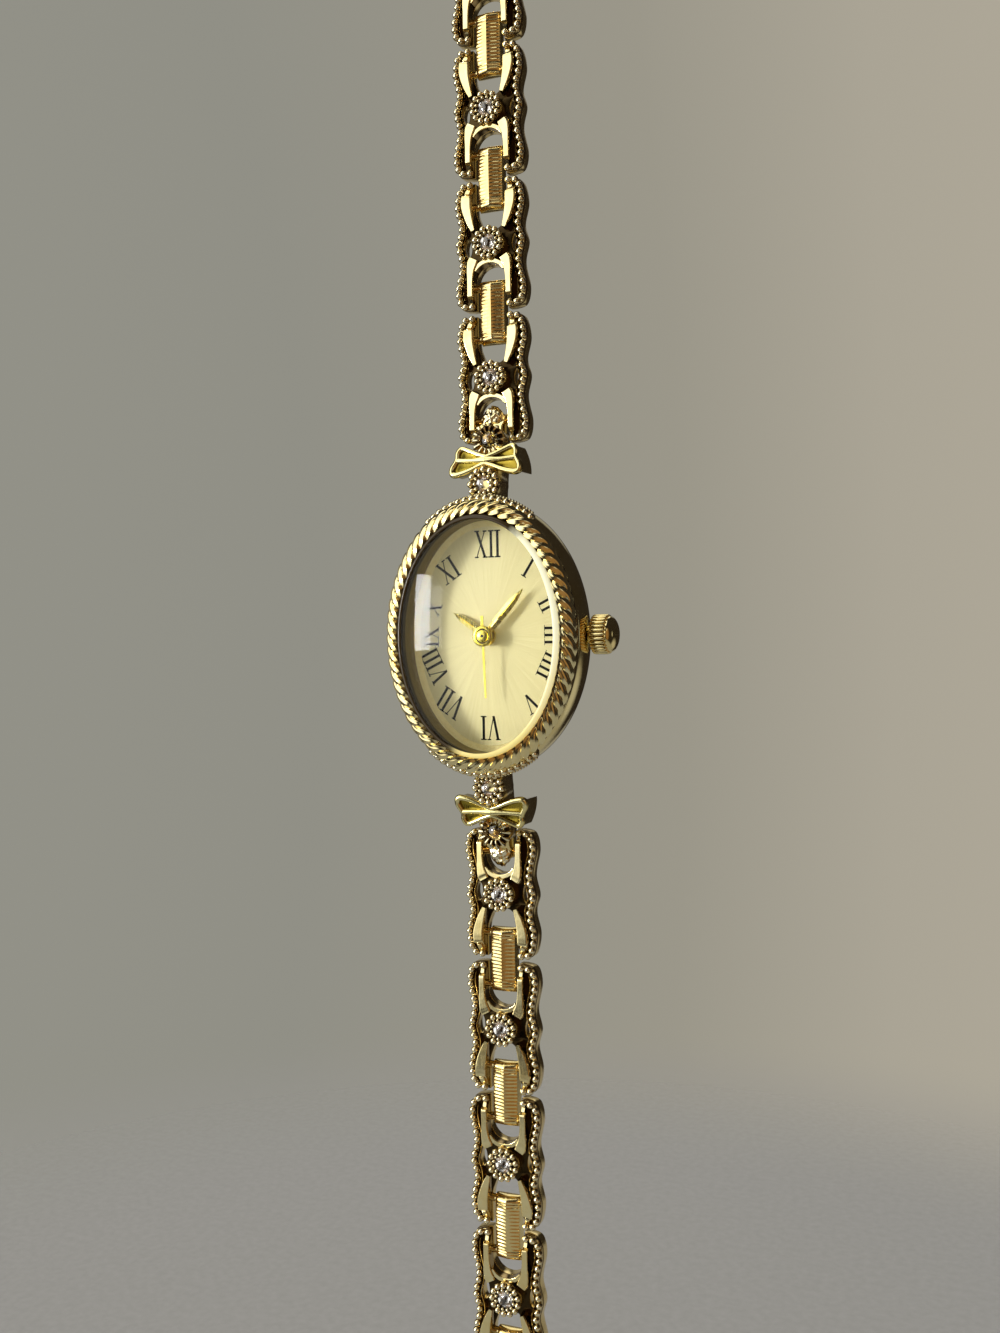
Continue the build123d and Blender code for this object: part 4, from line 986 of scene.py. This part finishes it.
# Dial and hands. Each numeral has its bearing in degrees and its height
dialSet = {
    "places": (5.72, 8.24), "size": 2.3, "gap": 0.03, "ink": 0.02, "bar": 0.1, "hair": 0.035, "serif": 0.05,
    "numerals": [("XII", 0, 2.45), ("I", 33, 1.9), ("II", 64, 1.1), ("III", 90, 0.88), ("IIII", 116, 1.12),
                 ("V", 147, 1.75), ("VI", 180, 2.15), ("VII", 213, 2.2), ("VIII", 244, 1.8), ("IX", 270, 1.5),
                 ("X", 296, 1.4), ("XI", 327, 2.1)],
}


def strokeOutline(x0, y0, x1, y1, width):
    return [(x0 - width / 2, y0), (x0 + width / 2, y0), (x1 + width / 2, y1), (x1 - width / 2, y1)]


# Letters as outlines of strokes in units of their height, with how far each reaches to the right
def letterStrokes(letter):
    bar, hair, serif = dialSet["bar"], dialSet["hair"], dialSet["serif"]

    def foot(x, y, width):
        low = y - (serif if y > 0.5 else 0.0)
        return strokeOutline(x, low, x, low + serif, width)

    if letter == "I":
        return [strokeOutline(0.12, 0, 0.12, 1, bar), foot(0.12, 0, 0.24), foot(0.12, 1, 0.24)], 0.24
    if letter == "V":
        strokes = [strokeOutline(0.27, 0, 0.08, 1, bar), strokeOutline(0.27, 0, 0.46, 1, hair)]
        return strokes + [foot(0.08, 1, 0.2), foot(0.46, 1, 0.16)], 0.54
    strokes = [strokeOutline(0.44, 0, 0.09, 1, bar), strokeOutline(0.08, 0, 0.43, 1, hair)]
    return strokes + [foot(0.09, 1, 0.2), foot(0.43, 1, 0.16), foot(0.44, 0, 0.2), foot(0.08, 0, 0.16)], 0.54


def makeNumerals():
    top, size, gap = frontOf("dial"), dialSet["size"], dialSet["gap"]
    halfWidth, halfLength = dialSet["places"]
    shapes = []
    for text, bearing, tall in dialSet["numerals"]:
        turn = radians(bearing)
        reach = 1 / sqrt((sin(turn) / halfWidth) ** 2 + (cos(turn) / halfLength) ** 2)
        strokes, right = [], 0.0
        for letter in text:
            outlines, width = letterStrokes(letter)
            strokes += [[(right + x, y) for x, y in outline] for outline in outlines]
            right += width + gap
        middle = (right - gap) / 2
        for outline in strokes:
            placed = [turnedPlace((x - middle) * size, reach + (y - 0.5) * tall, turn) for x, y in outline]
            shapes.append(prism(placed, top, top + dialSet["ink"], dialInk))
    makePiece("numerals", shapes, "case")


# Each leaf hand: node, body, bearing, length, width, radius of its hub, and height of its underside
handSet = {
    "hourHand": ("hour_hand", "hours", 303.5, 3.81, 0.72, 0.86, 3.97),
    "minuteHand": ("minute_hand", "minutes", 42.0, 5.49, 0.75, 0.63, 4.47),
}
bladeSet = {"thick": 0.14, "ridge": 0.09, "stations": 22, "root": 0.42, "taper": 0.72}


# Leaf hand: two facets that meet in a raised middle line, over a round hub
def makeLeafHand(name, node, body, bearing, length, width, hub, low):
    top, turn, stations = low + bladeSet["thick"], radians(bearing), bladeSet["stations"]
    root, taper = bladeSet["root"], bladeSet["taper"]
    points = []
    for n in range(stations + 1):
        t = n / stations
        half = width / 2 * (root + (1 - root) * sin(pi * min(t / 1.1, 1.0) ** 0.8) ** 0.9)
        if t > taper:
            half *= max(0.12, cos((t - taper) / (1 - taper) * pi / 2) ** 0.7)
        crest = top + 0.7 * bladeSet["ridge"] * min(1.0, 4 * t + 0.2) * (1 - 0.6 * t)
        groove = crest + 0.01 if t < 0.4 or t > 0.95 else top - 0.05
        right = [(half * 0.16, crest), (half, top - 0.05), (half, low)]
        section = [(-x, z) for x, z in reversed(right)] + [(0.0, groove)] + right
        points += [(*turnedPlace(x, length * t, turn), z) for x, z in section]
    faces = tubeFaces(stations + 1, 7) + [list(range(7)), list(range(stations * 7, stations * 7 + 7))]
    profile = [(hub, low), (hub, top - 0.03), (hub - 0.03, top + 0.005), (hub * 0.72, top + 0.01),
               (hub * 0.66, top - 0.03), (0.0, top - 0.03)]
    shapes = [closedShape(points, faces, golds["handGold"]), lathe(profile, golds["handGold"])]
    makePiece(name, shapes, body, stands=[node], sharp=25.0)


# The cap, its hole and its groove are radii and heights above the needle; the hole and the groove are
# near-black painted shade
secondSet = {
    "bearing": 178.0, "low": 4.97, "thick": 0.08,
    "needle": [(-0.13, -1.8), (0.13, -1.8), (0.08, 5.49), (-0.08, 5.49)],
    "cap": [(0.92, -0.1), (0.94, 0.05), (0.92, 0.1), (0.86, 0.14), (0.7, 0.15), (0.64, 0.04), (0.58, 0.04),
            (0.52, 0.14), (0.3, 0.2), (0.16, 0.21), (0.13, 0.12), (0.0, 0.12)],
    "hole": [(0.12, 0.1), (0.12, 0.13), (0.0, 0.135)],
    "groove": [(0.65, 0.02), (0.65, 0.05), (0.57, 0.05), (0.57, 0.02)],
}


def makeSecondHand():
    low, turn = secondSet["low"], radians(secondSet["bearing"])
    top = low + secondSet["thick"]
    needle = [turnedPlace(x, y, turn) for x, y in secondSet["needle"]]
    shapes = [prism(needle, low, top, golds["needleGold"])]
    for turned, finish in (("cap", golds["needleGold"]), ("hole", darkHole), ("groove", darkHole)):
        shapes.append(lathe([(radius, top + z) for radius, z in secondSet[turned]], finish))
    makePiece("secondHand", shapes, "seconds", stands=["second_hand"])


makeNumerals()
for name, values in handSet.items():
    makeLeafHand(name, *values)
makeSecondHand()
print("numerals and hands made")


crownSet = {"start": 9.35, "end": 10.75, "tip": 11.55, "radius": 1.7, "ribs": 28, "axis": 2.08, "sides": 8}


# Crown with a domed end; its ribs are drawn as (distance from the axis, place along it, width, height)
def makeCrown():
    start, end, tip, radius, sides = (crownSet[key] for key in ("start", "end", "tip", "radius", "sides"))
    profile = [(0.86, start + 0.35), (0.86, start), (radius - 0.3, start), (radius - 0.16, start + 0.1),
               (radius - 0.16, end - 0.05), (radius - 0.12, end + 0.02)]
    dome, foot = radius - 0.12, end + 0.05
    profile += [(dome * cos(turn), foot + (tip - foot) * sin(turn)) for turn in evenSteps(0, pi / 2, 12)[1:]]
    core = moved(lathe(profile, golds["polishedGold"], steps=60), lambda x, y, z: (z, y, -x))
    stops = throughPoints([(radius - 0.15, start + 0.02, 0.12, 0.1), (radius - 0.08, start + 0.12, 0.27, 0.27),
                           (radius - 0.08, end - 0.2, 0.27, 0.27), (radius - 0.12, end + 0.02, 0.2, 0.2),
                           (radius - 0.22, end + 0.18, 0.04, 0.05)], 4)
    points = [(along, cos(turn) * width / 2, away + sin(turn) * height / 2)
              for away, along, width, height in stops for turn in roundTurns(sides)]
    faces = tubeFaces(len(stops), sides) + [list(range(sides)), list(range(len(points) - sides, len(points)))]
    ribs = grown(points, [], faces, ringTree, golds["polishedGold"], count=crownSet["ribs"],
                 axis=(1.0, 0.0, 0.0), centre=(0.0, 0.0, 0.0))
    shapes = [moved(shape, lambda x, y, z: (x, y, z + crownSet["axis"])) for shape in (core, ribs)]
    makePiece("flutedCrown", shapes, "crown", stands=["crown"], sharp=50.0)


makeCrown()
print("crown made")


# Stones and settings. The heights are those of a stone of this size
stoneSet = {"crown": 0.3, "depth": 0.62, "size": 0.72}


# A stone's corners: how many, how far out, how high, and their shift in steps
def brilliant(centre, girdle, radius):
    crown, depth = stoneSet["crown"], stoneSet["depth"]
    rows = [(8, 0.56, crown, 0.0), (8, 0.8, crown * 0.6, 0.5), (16, 1.0, 0.02, 0.0), (16, 1.0, -0.03, 0.0),
            (8, 0.5, -depth * 0.62, 0.5), (1, 0.0, -depth, 0.0)]
    clay = bmesh.new()
    for count, share, height, shift in rows:
        out, z = radius * share, girdle + height * radius / stoneSet["size"]
        for turn in roundTurns(count, shift):
            clay.verts.new((centre[0] + out * cos(turn), centre[1] + out * sin(turn), z))
    bmesh.ops.convex_hull(clay, input=clay.verts)
    mesh = bpy.data.meshes.new("stone")
    clay.to_mesh(mesh)
    clay.free()
    return readMesh(mesh, cutStone, False)


cupSet = {"seat": 0.76, "depth": 0.7}


# Cup with a hollow for the stone, in the near-black gold: painted shade where it faces the front, gold on its
# flanks
def cup(centre, radius, low, high):
    seat, bottom = cupSet["seat"], high - cupSet["depth"]
    profile = [(radius * 0.82, low), (radius * 0.94, low + 0.3), (radius, high - 0.25),
               (radius - 0.04, high - 0.08), (radius - 0.14, high), (seat + 0.08, high), (seat, high - 0.1),
               (seat * 0.9, high - 0.35), (0.25, bottom), (0.0, bottom)]
    return lathe(profile, golds["blackRim"], centre, 48)


def beadRing(centre, radius, height, count, size, shift=0.0):
    line = [(centre[0] + radius * cos(turn), centre[1] + radius * sin(turn), height)
            for turn in roundTurns(count, shift)]
    return beadRows([line], 2 * radius * sin(pi / count) * 1.0005, size, closed=True)


# Every place of one kind of piece in the bracelet: its side, its number and its node
def bracelet(kind):
    return [(side, n, f"{side}_{kind}_{n}") for n in range(1, 5) for side in ("upper", "lower")]


# Crossbars in the links, which the connectors are rolled round
barSet = {"place": 3.75, "height": 1.15, "radius": 0.35, "half": 1.85}

# The edge's knots are shares of the half width and half length; the bars' stops are (x, y, width, depth)
linkSet = {
    "length": 11.7, "half": 3.42, "low": 0.5, "deck": 1.5, "rail": 1.78, "horn": 2.45, "bead": 0.325,
    "pitch": 0.65, "slot": 1.55, "floor": 1.8, "throat": 0.98, "window": (2.3, 0.32, 0.85), "setting": 1.46,
    "top": 2.7, "stone": 0.74, "neck": (1.78, -3.35, 2.3, 0.42),
    "knots": [(0.6, 1.0), (0.88, 0.93), (0.99, 0.62), (0.88, 0.29), (0.98, 0.02), (0.88, -0.29),
              (1.0, -0.68), (0.9, -0.94), (0.6, -1.0)],
    "upperBar": [(2.04, 5.12, 0.4, 0.4), (2.08, 4.9, 0.9, 0.8), (2.16, 4.2, 1.1, 0.96), (2.14, 3.5, 1.06, 1.0),
                 (2.0, 2.8, 0.92, 1.0), (1.8, 2.1, 0.74, 0.98), (1.62, 1.6, 0.56, 0.94), (1.48, 1.2, 0.4, 0.9)],
    "lowerBar": [(1.88, -5.25, 0.3, 0.4), (1.88, -5.0, 0.54, 0.8), (1.88, -4.2, 0.58, 0.92),
                 (1.86, -3.2, 0.62, 0.96), (1.8, -2.3, 0.84, 0.98), (1.62, -1.6, 1.1, 0.98),
                 (1.4, -1.15, 1.0, 0.9)],
}


# The link's right edge, moved inward by the inset
def linkEdge(inset=0.0, steps=10):
    half, reach = linkSet["half"], linkSet["length"] / 2
    right = throughPoints([(x * half, y * reach) for x, y in linkSet["knots"]], steps)
    if not inset:
        return right
    shifted = []
    for n, (x, y) in enumerate(right):
        (x0, y0), (x1, y1) = right[max(n - 1, 0)], right[min(n + 1, len(right) - 1)]
        size = sqrt((x1 - x0) ** 2 + (y1 - y0) ** 2)
        shifted.append((x + (y1 - y0) / size * inset, y - (x1 - x0) / size * inset))
    return shifted


# The plate's outline runs down the right side, round the arch, up the left side and round the slot
def makeLinkPlate():
    reach, slot, floor = linkSet["length"] / 2, linkSet["slot"], linkSet["floor"]
    side = linkEdge()
    arch = [(slot * cos(turn), -(floor + slot) + slot * sin(turn)) for turn in evenSteps(0, pi, 20)]
    half = [(0.0, floor - 0.4), (0.6, floor - 0.28), (linkSet["throat"], floor), (1.22, 2.3),
            (slot - 0.03, 3.2), (slot + 0.02, reach - 1.4), (slot, reach)]
    lyre = throughPoints([(-x, y) for x, y in half[:0:-1]] + half, 4)
    outline = side + [(slot, -reach)] + arch + [(-slot, -reach)] + [(-x, y) for x, y in reversed(side)] + lyre
    place, width, height = linkSet["window"]
    windows = [[(flip * place + width * cos(turn), height * sin(turn)) for turn in roundTurns(20)]
               for flip in (-1, 1)]
    # the plate is near-black painted shade where it faces the front and gold on its edges and back
    return plate([outline] + windows, linkSet["low"], linkSet["deck"], golds["blackRim"], 0.1, 2)


# Raised bars beside the slot and the arch and a curved one over the arch, each with a flat top
def makeLinkBars():
    deck, horn, shapes = linkSet["deck"], linkSet["horn"], []
    for flip in (-1, 1):
        for bar in ("upperBar", "lowerBar"):
            stops = [(flip * x, y, horn - depth, width, 2 * depth) for x, y, width, depth in linkSet[bar]]
            shapes.append(sweep(throughPoints(stops, 5), flatSection, golds["linkGold"]))
    radius, place, top, width = linkSet["neck"]
    neck = [(radius * cos(turn), place + radius * sin(turn), (deck + top) / 2, width, top - deck)
            for turn in evenSteps(0.2 * pi, 0.8 * pi, 16)]
    return shapes + [sweep(neck, flatSection, golds["linkGold"])]


# Beads on a rail along each edge, with a wire inside it
def makeLinkRails():
    reach, slot, low, rail = linkSet["length"] / 2, linkSet["slot"], linkSet["low"], linkSet["rail"]
    gold = golds["linkGold"]
    edge = [(slot + 0.34, reach - 0.3)] + linkEdge(0.27, 12) + [(slot + 0.3, -reach + 0.3)]
    rows = [[(flip * x, y, rail + 0.2) for x, y in edge] for flip in (-1, 1)]
    shapes = [beadRows(rows, linkSet["pitch"], linkSet["bead"], sides=12)]
    for flip in (-1, 1):
        wall = [(flip * x, y, (rail + low) / 2, 0.44, rail - low) for x, y in edge]
        wire = [(flip * x, y, rail - 0.1, 0.15, 0.56) for x, y in linkEdge(0.72, 12) if abs(y) < 4.9]
        shapes += [sweep(wall, flatSection, gold), sweep(wire, roundSection[::2], gold)]
    return shapes


def makeLinkSetting():
    centre, top = (0.0, 0.0), linkSet["top"]
    return [cup(centre, linkSet["setting"], linkSet["low"], top - 0.26),
            beadRing(centre, 1.27, top - 0.14, 13, 0.3), beadRing(centre, 0.87, top - 0.06, 12, 0.165, 0.5)]


def makeCrossbars():
    profile = [(barSet["radius"], -barSet["half"]), (barSet["radius"], barSet["half"])]
    rod = lathe(profile, golds["polishedGold"], steps=20)
    places = (-barSet["place"], barSet["place"])
    return [moved(rod, lambda x, y, z: (z, place + x, barSet["height"] + y)) for place in places]


def makeLinks():
    shapes = [makeLinkPlate()] + makeLinkBars() + makeLinkRails() + makeLinkSetting() + makeCrossbars()
    stone = [brilliant((0.0, 0.0), linkSet["top"] - 0.24, linkSet["stone"])]
    for side, n, node in bracelet("link"):
        heart, turned = heartOf(node), side == "lower"
        makePiece(f"{side}Link{n}", shapes, node, heart, turned, [node], 50.0)
        makePiece(f"{side}Stone{n}", stone, node, heart, turned, [f"{side}_stone_{n}"])


connectorSet = {"half": 1.15, "reach": 2.35, "eye": 0.6, "ridge": 0.32, "rib": 0.32, "ribbed": 1.9,
                "depth": 0.055, "across": 16, "along": 96}


# Folded strip: a ridge along its middle, ribs across both slopes, rolled round a crossbar at each end
def makeConnectors():
    half, reach, eye, depth = (connectorSet[key] for key in ("half", "reach", "eye", "depth"))
    across, along, axis, points = connectorSet["across"], connectorSet["along"], barSet["height"], []
    for y in evenSteps(-reach - eye, reach + eye, along):
        arch = sqrt(max(eye ** 2 - max(abs(y) - reach, 0.0) ** 2, 0.0))
        ribbed = abs(y) < connectorSet["ribbed"]
        rib = depth * (0.5 * cos(2 * pi * y / connectorSet["rib"]) - 0.5) if ribbed else 0.0
        notch = 0.1 * exp(-((abs(y) - 2.0) / 0.07) ** 2) + 0.08 * exp(-((abs(y) - 2.3) / 0.06) ** 2)
        upper, lower = [], []
        for u in evenSteps(-1, 1, across):
            slope = connectorSet["ridge"] * (1 - abs(u)) * min(1.0, arch / eye)
            crest = exp(-(u / (0.12 if u > 0 else 0.5)) ** 2)
            edge = max(0.0, (abs(u) - 0.9) / 0.1)
            relief = rib * (1 - crest) * (1 - 0.5 * (abs(u) > 0.9)) - notch * (1 - 0.6 * crest) - 0.06 * edge
            upper.append((u * half, y, axis + arch + slope + relief))
            lower.append((u * half, y, axis - arch + 0.05 * edge))
        points += upper + lower
    shape = closedShape(points, slabFaces(along, across), golds["connectorGold"], True, 0.004)
    for side, n, node in bracelet("connector"):
        heart, turned = heartOf(node), side == "lower"
        makePiece(f"{side}Connector{n}", [shape], node, heart, turned, [node], 30.0)


makeLinks()
makeConnectors()
print("links, stones and connectors made")


# Lugs: the places of their two settings, and the claws' stops as (distance, 0, height, width, depth)
lugSet = {
    "inner": 13.55, "outer": 17.6, "innerTop": 4.55, "outerTop": 3.35, "claws": 14, "half": 1.15,
    "spine": [(11.3, 1.6), (16.28, 0.75), (19.65, 0.58), (20.1, 0.8), (20.2, 1.2), (20.05, 1.6), (19.65, 1.75),
              (18.92, 2.6), (13.55, 3.9), (11.3, 3.9)],
    "claw": [(0.74, 0.0, 0.04, 0.1, 0.1), (0.8, 0.0, 0.04, 0.2, 0.3), (1.05, 0.0, 0.02, 0.24, 0.5),
             (1.3, 0.0, -0.04, 0.36, 0.5), (1.46, 0.0, -0.12, 0.42, 0.48), (1.56, 0.0, -0.2, 0.24, 0.26)],
}

# The rim's stops are (x, y, thickness), the fold's (x, y, width, height)
bowSet = {
    "middle": 15.75, "slope": 0.24, "stations": 18, "across": 28,
    "rim": [(0.0, 0.3, 0.34), (0.8, 0.54, 0.36), (1.7, 0.92, 0.38), (2.3, 1.16, 0.4), (2.62, 1.1, 0.42),
            (2.82, 0.74, 0.44), (2.82, 0.3, 0.4), (2.98, -0.1, 0.4), (3.24, -0.58, 0.46), (3.24, -1.04, 0.48),
            (2.94, -1.22, 0.46), (2.2, -1.1, 0.42), (1.3, -0.8, 0.38), (0.7, -0.54, 0.36), (0.0, -0.3, 0.34)],
    "fold": [(0.0, 0.0, 0.7, 0.5), (0.5, 0.0, 0.6, 0.5), (1.2, 0.0, 0.46, 0.46), (2.0, 0.04, 0.44, 0.42),
             (2.86, 0.1, 0.5, 0.36)],
}


def makeBowLobe(flip, level, depth, finish):
    stations, across, points = bowSet["stations"], bowSet["across"], []
    for n in range(stations + 1):
        t = n / stations
        x, half = 2.98 * t - 0.04, 0.4 + 0.86 * t ** 0.8
        upper, lower = [], []
        for u in evenSteps(-1, 1, across):
            dip = 0.16 * sin(pi * min(abs(u) * 1.1, 1.0)) * sin(pi * min(t + 0.15, 1.0)) ** 0.5
            y, bulge, fall = u * half, 0.1 * (1 - u * u), bowSet["slope"] * u * half
            reach = x + (bulge - 0.42 * u) * t ** 2
            upper.append((flip * reach, bowSet["middle"] + y, level - dip + 0.12 * (1 - t) - fall))
            reach = x + (bulge - 0.4 * u) * t ** 2 + 0.03 * depth
            lower.append((flip * reach, bowSet["middle"] + y * 0.98, level - depth + 0.2 * u * u - fall))
        points += upper + lower
    return closedShape(points, slabFaces(stations, across), finish)


# Thick rim round each lobe, notched where the middle fold ends, and the fold itself
def makeBowRims(flip, level):
    middle, slope = bowSet["middle"], bowSet["slope"]
    rim = [(flip * x, middle + y, level + 0.12 * (1 - x / 3.3) - slope * y, 1.25 * w, w + 0.12)
           for x, y, w in bowSet["rim"]]
    fold = [(flip * x, middle + y, level + 0.06 + 0.12 * (1 - x / 3.0), w, h) for x, y, w, h in bowSet["fold"]]
    return [sweep(throughPoints(line, 5), roundSection, golds["bowGold"]) for line in (rim, fold)]


nuggetSet = {"rows": 26, "steps": 36, "place": (19.65, 1.55), "half": (1.22, 1.3, 0.95), "narrow": 0.45}


# Rough nugget that ends the lug in front of the first crossbar
def makeNugget():
    rows, steps = nuggetSet["rows"], nuggetSet["steps"]
    (along, height), (width, length, thick) = nuggetSet["place"], nuggetSet["half"]
    points = []
    for fall in evenSteps(0, pi, rows):
        for turn in roundTurns(steps):
            way = Vector((sin(fall) * cos(turn), sin(fall) * sin(turn), cos(fall)))
            x, y, z = way
            lump = 1 + 0.2 * noise.noise(way * 3.4 + Vector((3.1, 0.4, 1.7)))
            lump -= 0.22 * abs(noise.noise(way * 5.2 + Vector((0.7, 2.3, 5.1))))
            narrow = 1 - nuggetSet["narrow"] * max(y, 0.0) ** 1.3
            points.append((width * x * lump * narrow, along + length * y * lump, height + thick * z * lump))
    return closedShape(points, tubeFaces(rows + 1, steps), golds["beadGold"], True, 0.001)


# Inner setting: large beads and a second ring of small ones that holds the stone.
# Outer setting: claws like short spokes inside a scalloped rim
def makeLugBeads():
    inner, innerTop = (0.0, lugSet["inner"]), lugSet["innerTop"]
    points, faces, _, _ = sweep(throughPoints(lugSet["claw"], 3), roundSection[::2], golds["beadGold"])
    claws = grown(points, [], faces, ringTree, golds["beadGold"], count=lugSet["claws"],
                  axis=(0.0, 0.0, 1.0), centre=(0.0, lugSet["outer"], lugSet["outerTop"] - 0.1))
    return [beadRing(inner, 1.27, innerTop - 0.16, 12, 0.335),
            beadRing(inner, 0.82, innerTop - 0.05, 11, 0.19, 0.5), claws]


# The band has its inner and outer half width; each row of beads has a half width, height, radius and pitch
shoulderSet = {"band": (8.86, 9.33), "bandReach": 4.95, "low": 4.5, "high": 5.42, "rowReach": 4.9,
               "rows": [(9.16, 5.56, 0.36, 0.67), (9.46, 5.16, 0.14, 0.3)]}


# The end of an oval, between the two places that lie this far from the middle line
def ovalEnd(halfWidth, reach, steps):
    start = atan2(sqrt(1 - (reach / halfWidth) ** 2), reach / halfWidth)
    turns = evenSteps(start, pi - start, steps)
    return [(halfWidth * cos(turn), (halfWidth + ovalExtra) * sin(turn)) for turn in turns]


# Shoulder: a crescent round the bezel's foot with two rows of beads
def makeShoulder():
    inner, outer = [ovalEnd(halfWidth, shoulderSet["bandReach"], 40) for halfWidth in shoulderSet["band"]]
    low, high = shoulderSet["low"], shoulderSet["high"]
    shapes = [plate([inner + outer[::-1]], low, high, golds["polishedGold"], 0.08, 2)]
    for halfWidth, height, size, pitch in shoulderSet["rows"]:
        line = [(x, y, height) for x, y in ovalEnd(halfWidth, shoulderSet["rowReach"], 60)]
        shapes.append(beadRows([line], pitch, size))
    return shapes


def makeLugShapes():
    half = lugSet["half"]
    shapes = [onSide(plate([lugSet["spine"]], -half, half, golds["polishedGold"], 0.12, 2)),
              cup((0.0, lugSet["inner"]), 1.5, 1.6, lugSet["innerTop"] - 0.28),
              cup((0.0, lugSet["outer"]), 1.42, 0.85, lugSet["outerTop"] - 0.34)]
    for flip in (-1, 1):
        shapes.append(makeBowLobe(flip, 3.62, 0.3, golds["bowPanel"]))
        shapes.append(makeBowLobe(flip, 3.4, 2.6, golds["polishedGold"]))
        shapes += makeBowRims(flip, 3.66)
    return shapes + [makeNugget()] + makeLugBeads() + makeShoulder()


def makeLugs():
    shapes = makeLugShapes()
    makePiece("upperLug", shapes, "case", stands=["upper_lug"], sharp=45.0)
    makePiece("lowerLug", shapes, "case", turned=True, stands=["lower_lug"], sharp=45.0)
    stones = [brilliant((0.0, lugSet["inner"]), lugSet["innerTop"] - 0.22, 0.7),
              brilliant((0.0, lugSet["outer"]), lugSet["outerTop"] - 0.24, 0.74)]
    stones += [moved(stone, lambda x, y, z: (-x, -y, z)) for stone in stones]
    makePiece("lugStones", stones, "case", stands=["lug_stones"])


makeLugs()
print("lugs made")


# Clasp and back: copies of the carried nodes with softened edges.
# Each has its node, body, finish, slot and the width of its bevel
copySet = {
    "claspLadder": ("clasp_ladder", "ladder", satinGold, "gold_plate", 0.12),
    "claspTray": ("clasp_base", "clasp", satinGold, "gold_plate", 0.1),
    "claspCover": ("clasp_cover", "clasp_cover", satinGold, "gold_plate", 0.1),
    "steelBack": ("case_back", "case", brushedSteel, "steel", 0.12),
}
bevelSet = {"weld": 0.002, "flat": 1.0, "segments": 3, "corner": 35.0, "sharp": 38.0}


def softCopy(name, node, body, finish, slotName, soft):
    mesh = frame["nodes"][node].data.copy()
    clay = bmesh.new()
    clay.from_mesh(mesh)
    bmesh.ops.remove_doubles(clay, verts=clay.verts, dist=bevelSet["weld"] * mm)
    bmesh.ops.dissolve_limit(clay, angle_limit=radians(bevelSet["flat"]), verts=clay.verts, edges=clay.edges)
    clay.to_mesh(mesh)
    clay.free()
    mesh.materials.clear()
    mesh.materials.append(finish)
    piece = bpy.data.objects.new(name, mesh)
    scene.collection.objects.link(piece)
    bevel = piece.modifiers.new("soften", "BEVEL")
    bevel.width, bevel.segments, bevel.harden_normals = soft * mm, bevelSet["segments"], False
    bevel.limit_method, bevel.angle_limit = "ANGLE", radians(bevelSet["corner"])
    result = bpy.data.meshes.new_from_object(piece.evaluated_get(bpy.context.evaluated_depsgraph_get()))
    piece.modifiers.clear()
    piece.data = result
    result.polygons.foreach_set("use_smooth", [True] * len(result.polygons))
    result.set_sharp_from_angle(angle=radians(bevelSet["sharp"]))
    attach(piece, body)
    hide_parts(node)


for name, values in copySet.items():
    softCopy(name, *values)

finishOf = {
    "gold_plate": golds["polishedGold"], "stone": cutStone, "crystal": mineralGlass, "dial": champagneDial,
    "steel": brushedSteel, "rubber": sealRubber, "holder": holderPlastic, "movement_brass": machinedBrass,
    "circuit": circuitLaminate, "coil": coilWinding, "battery": cellSteel,
}
slotOf = {part["node"]: part["material_slot"] for part in frame["record"]["subparts"]}
for name, node in frame["nodes"].items():
    finish = pinSteel if name in ("clasp_pin", "stem") else finishOf[slotOf[name]]
    node.data.materials.clear()
    node.data.materials.append(finish)
print("clasp, back and carried parts finished")
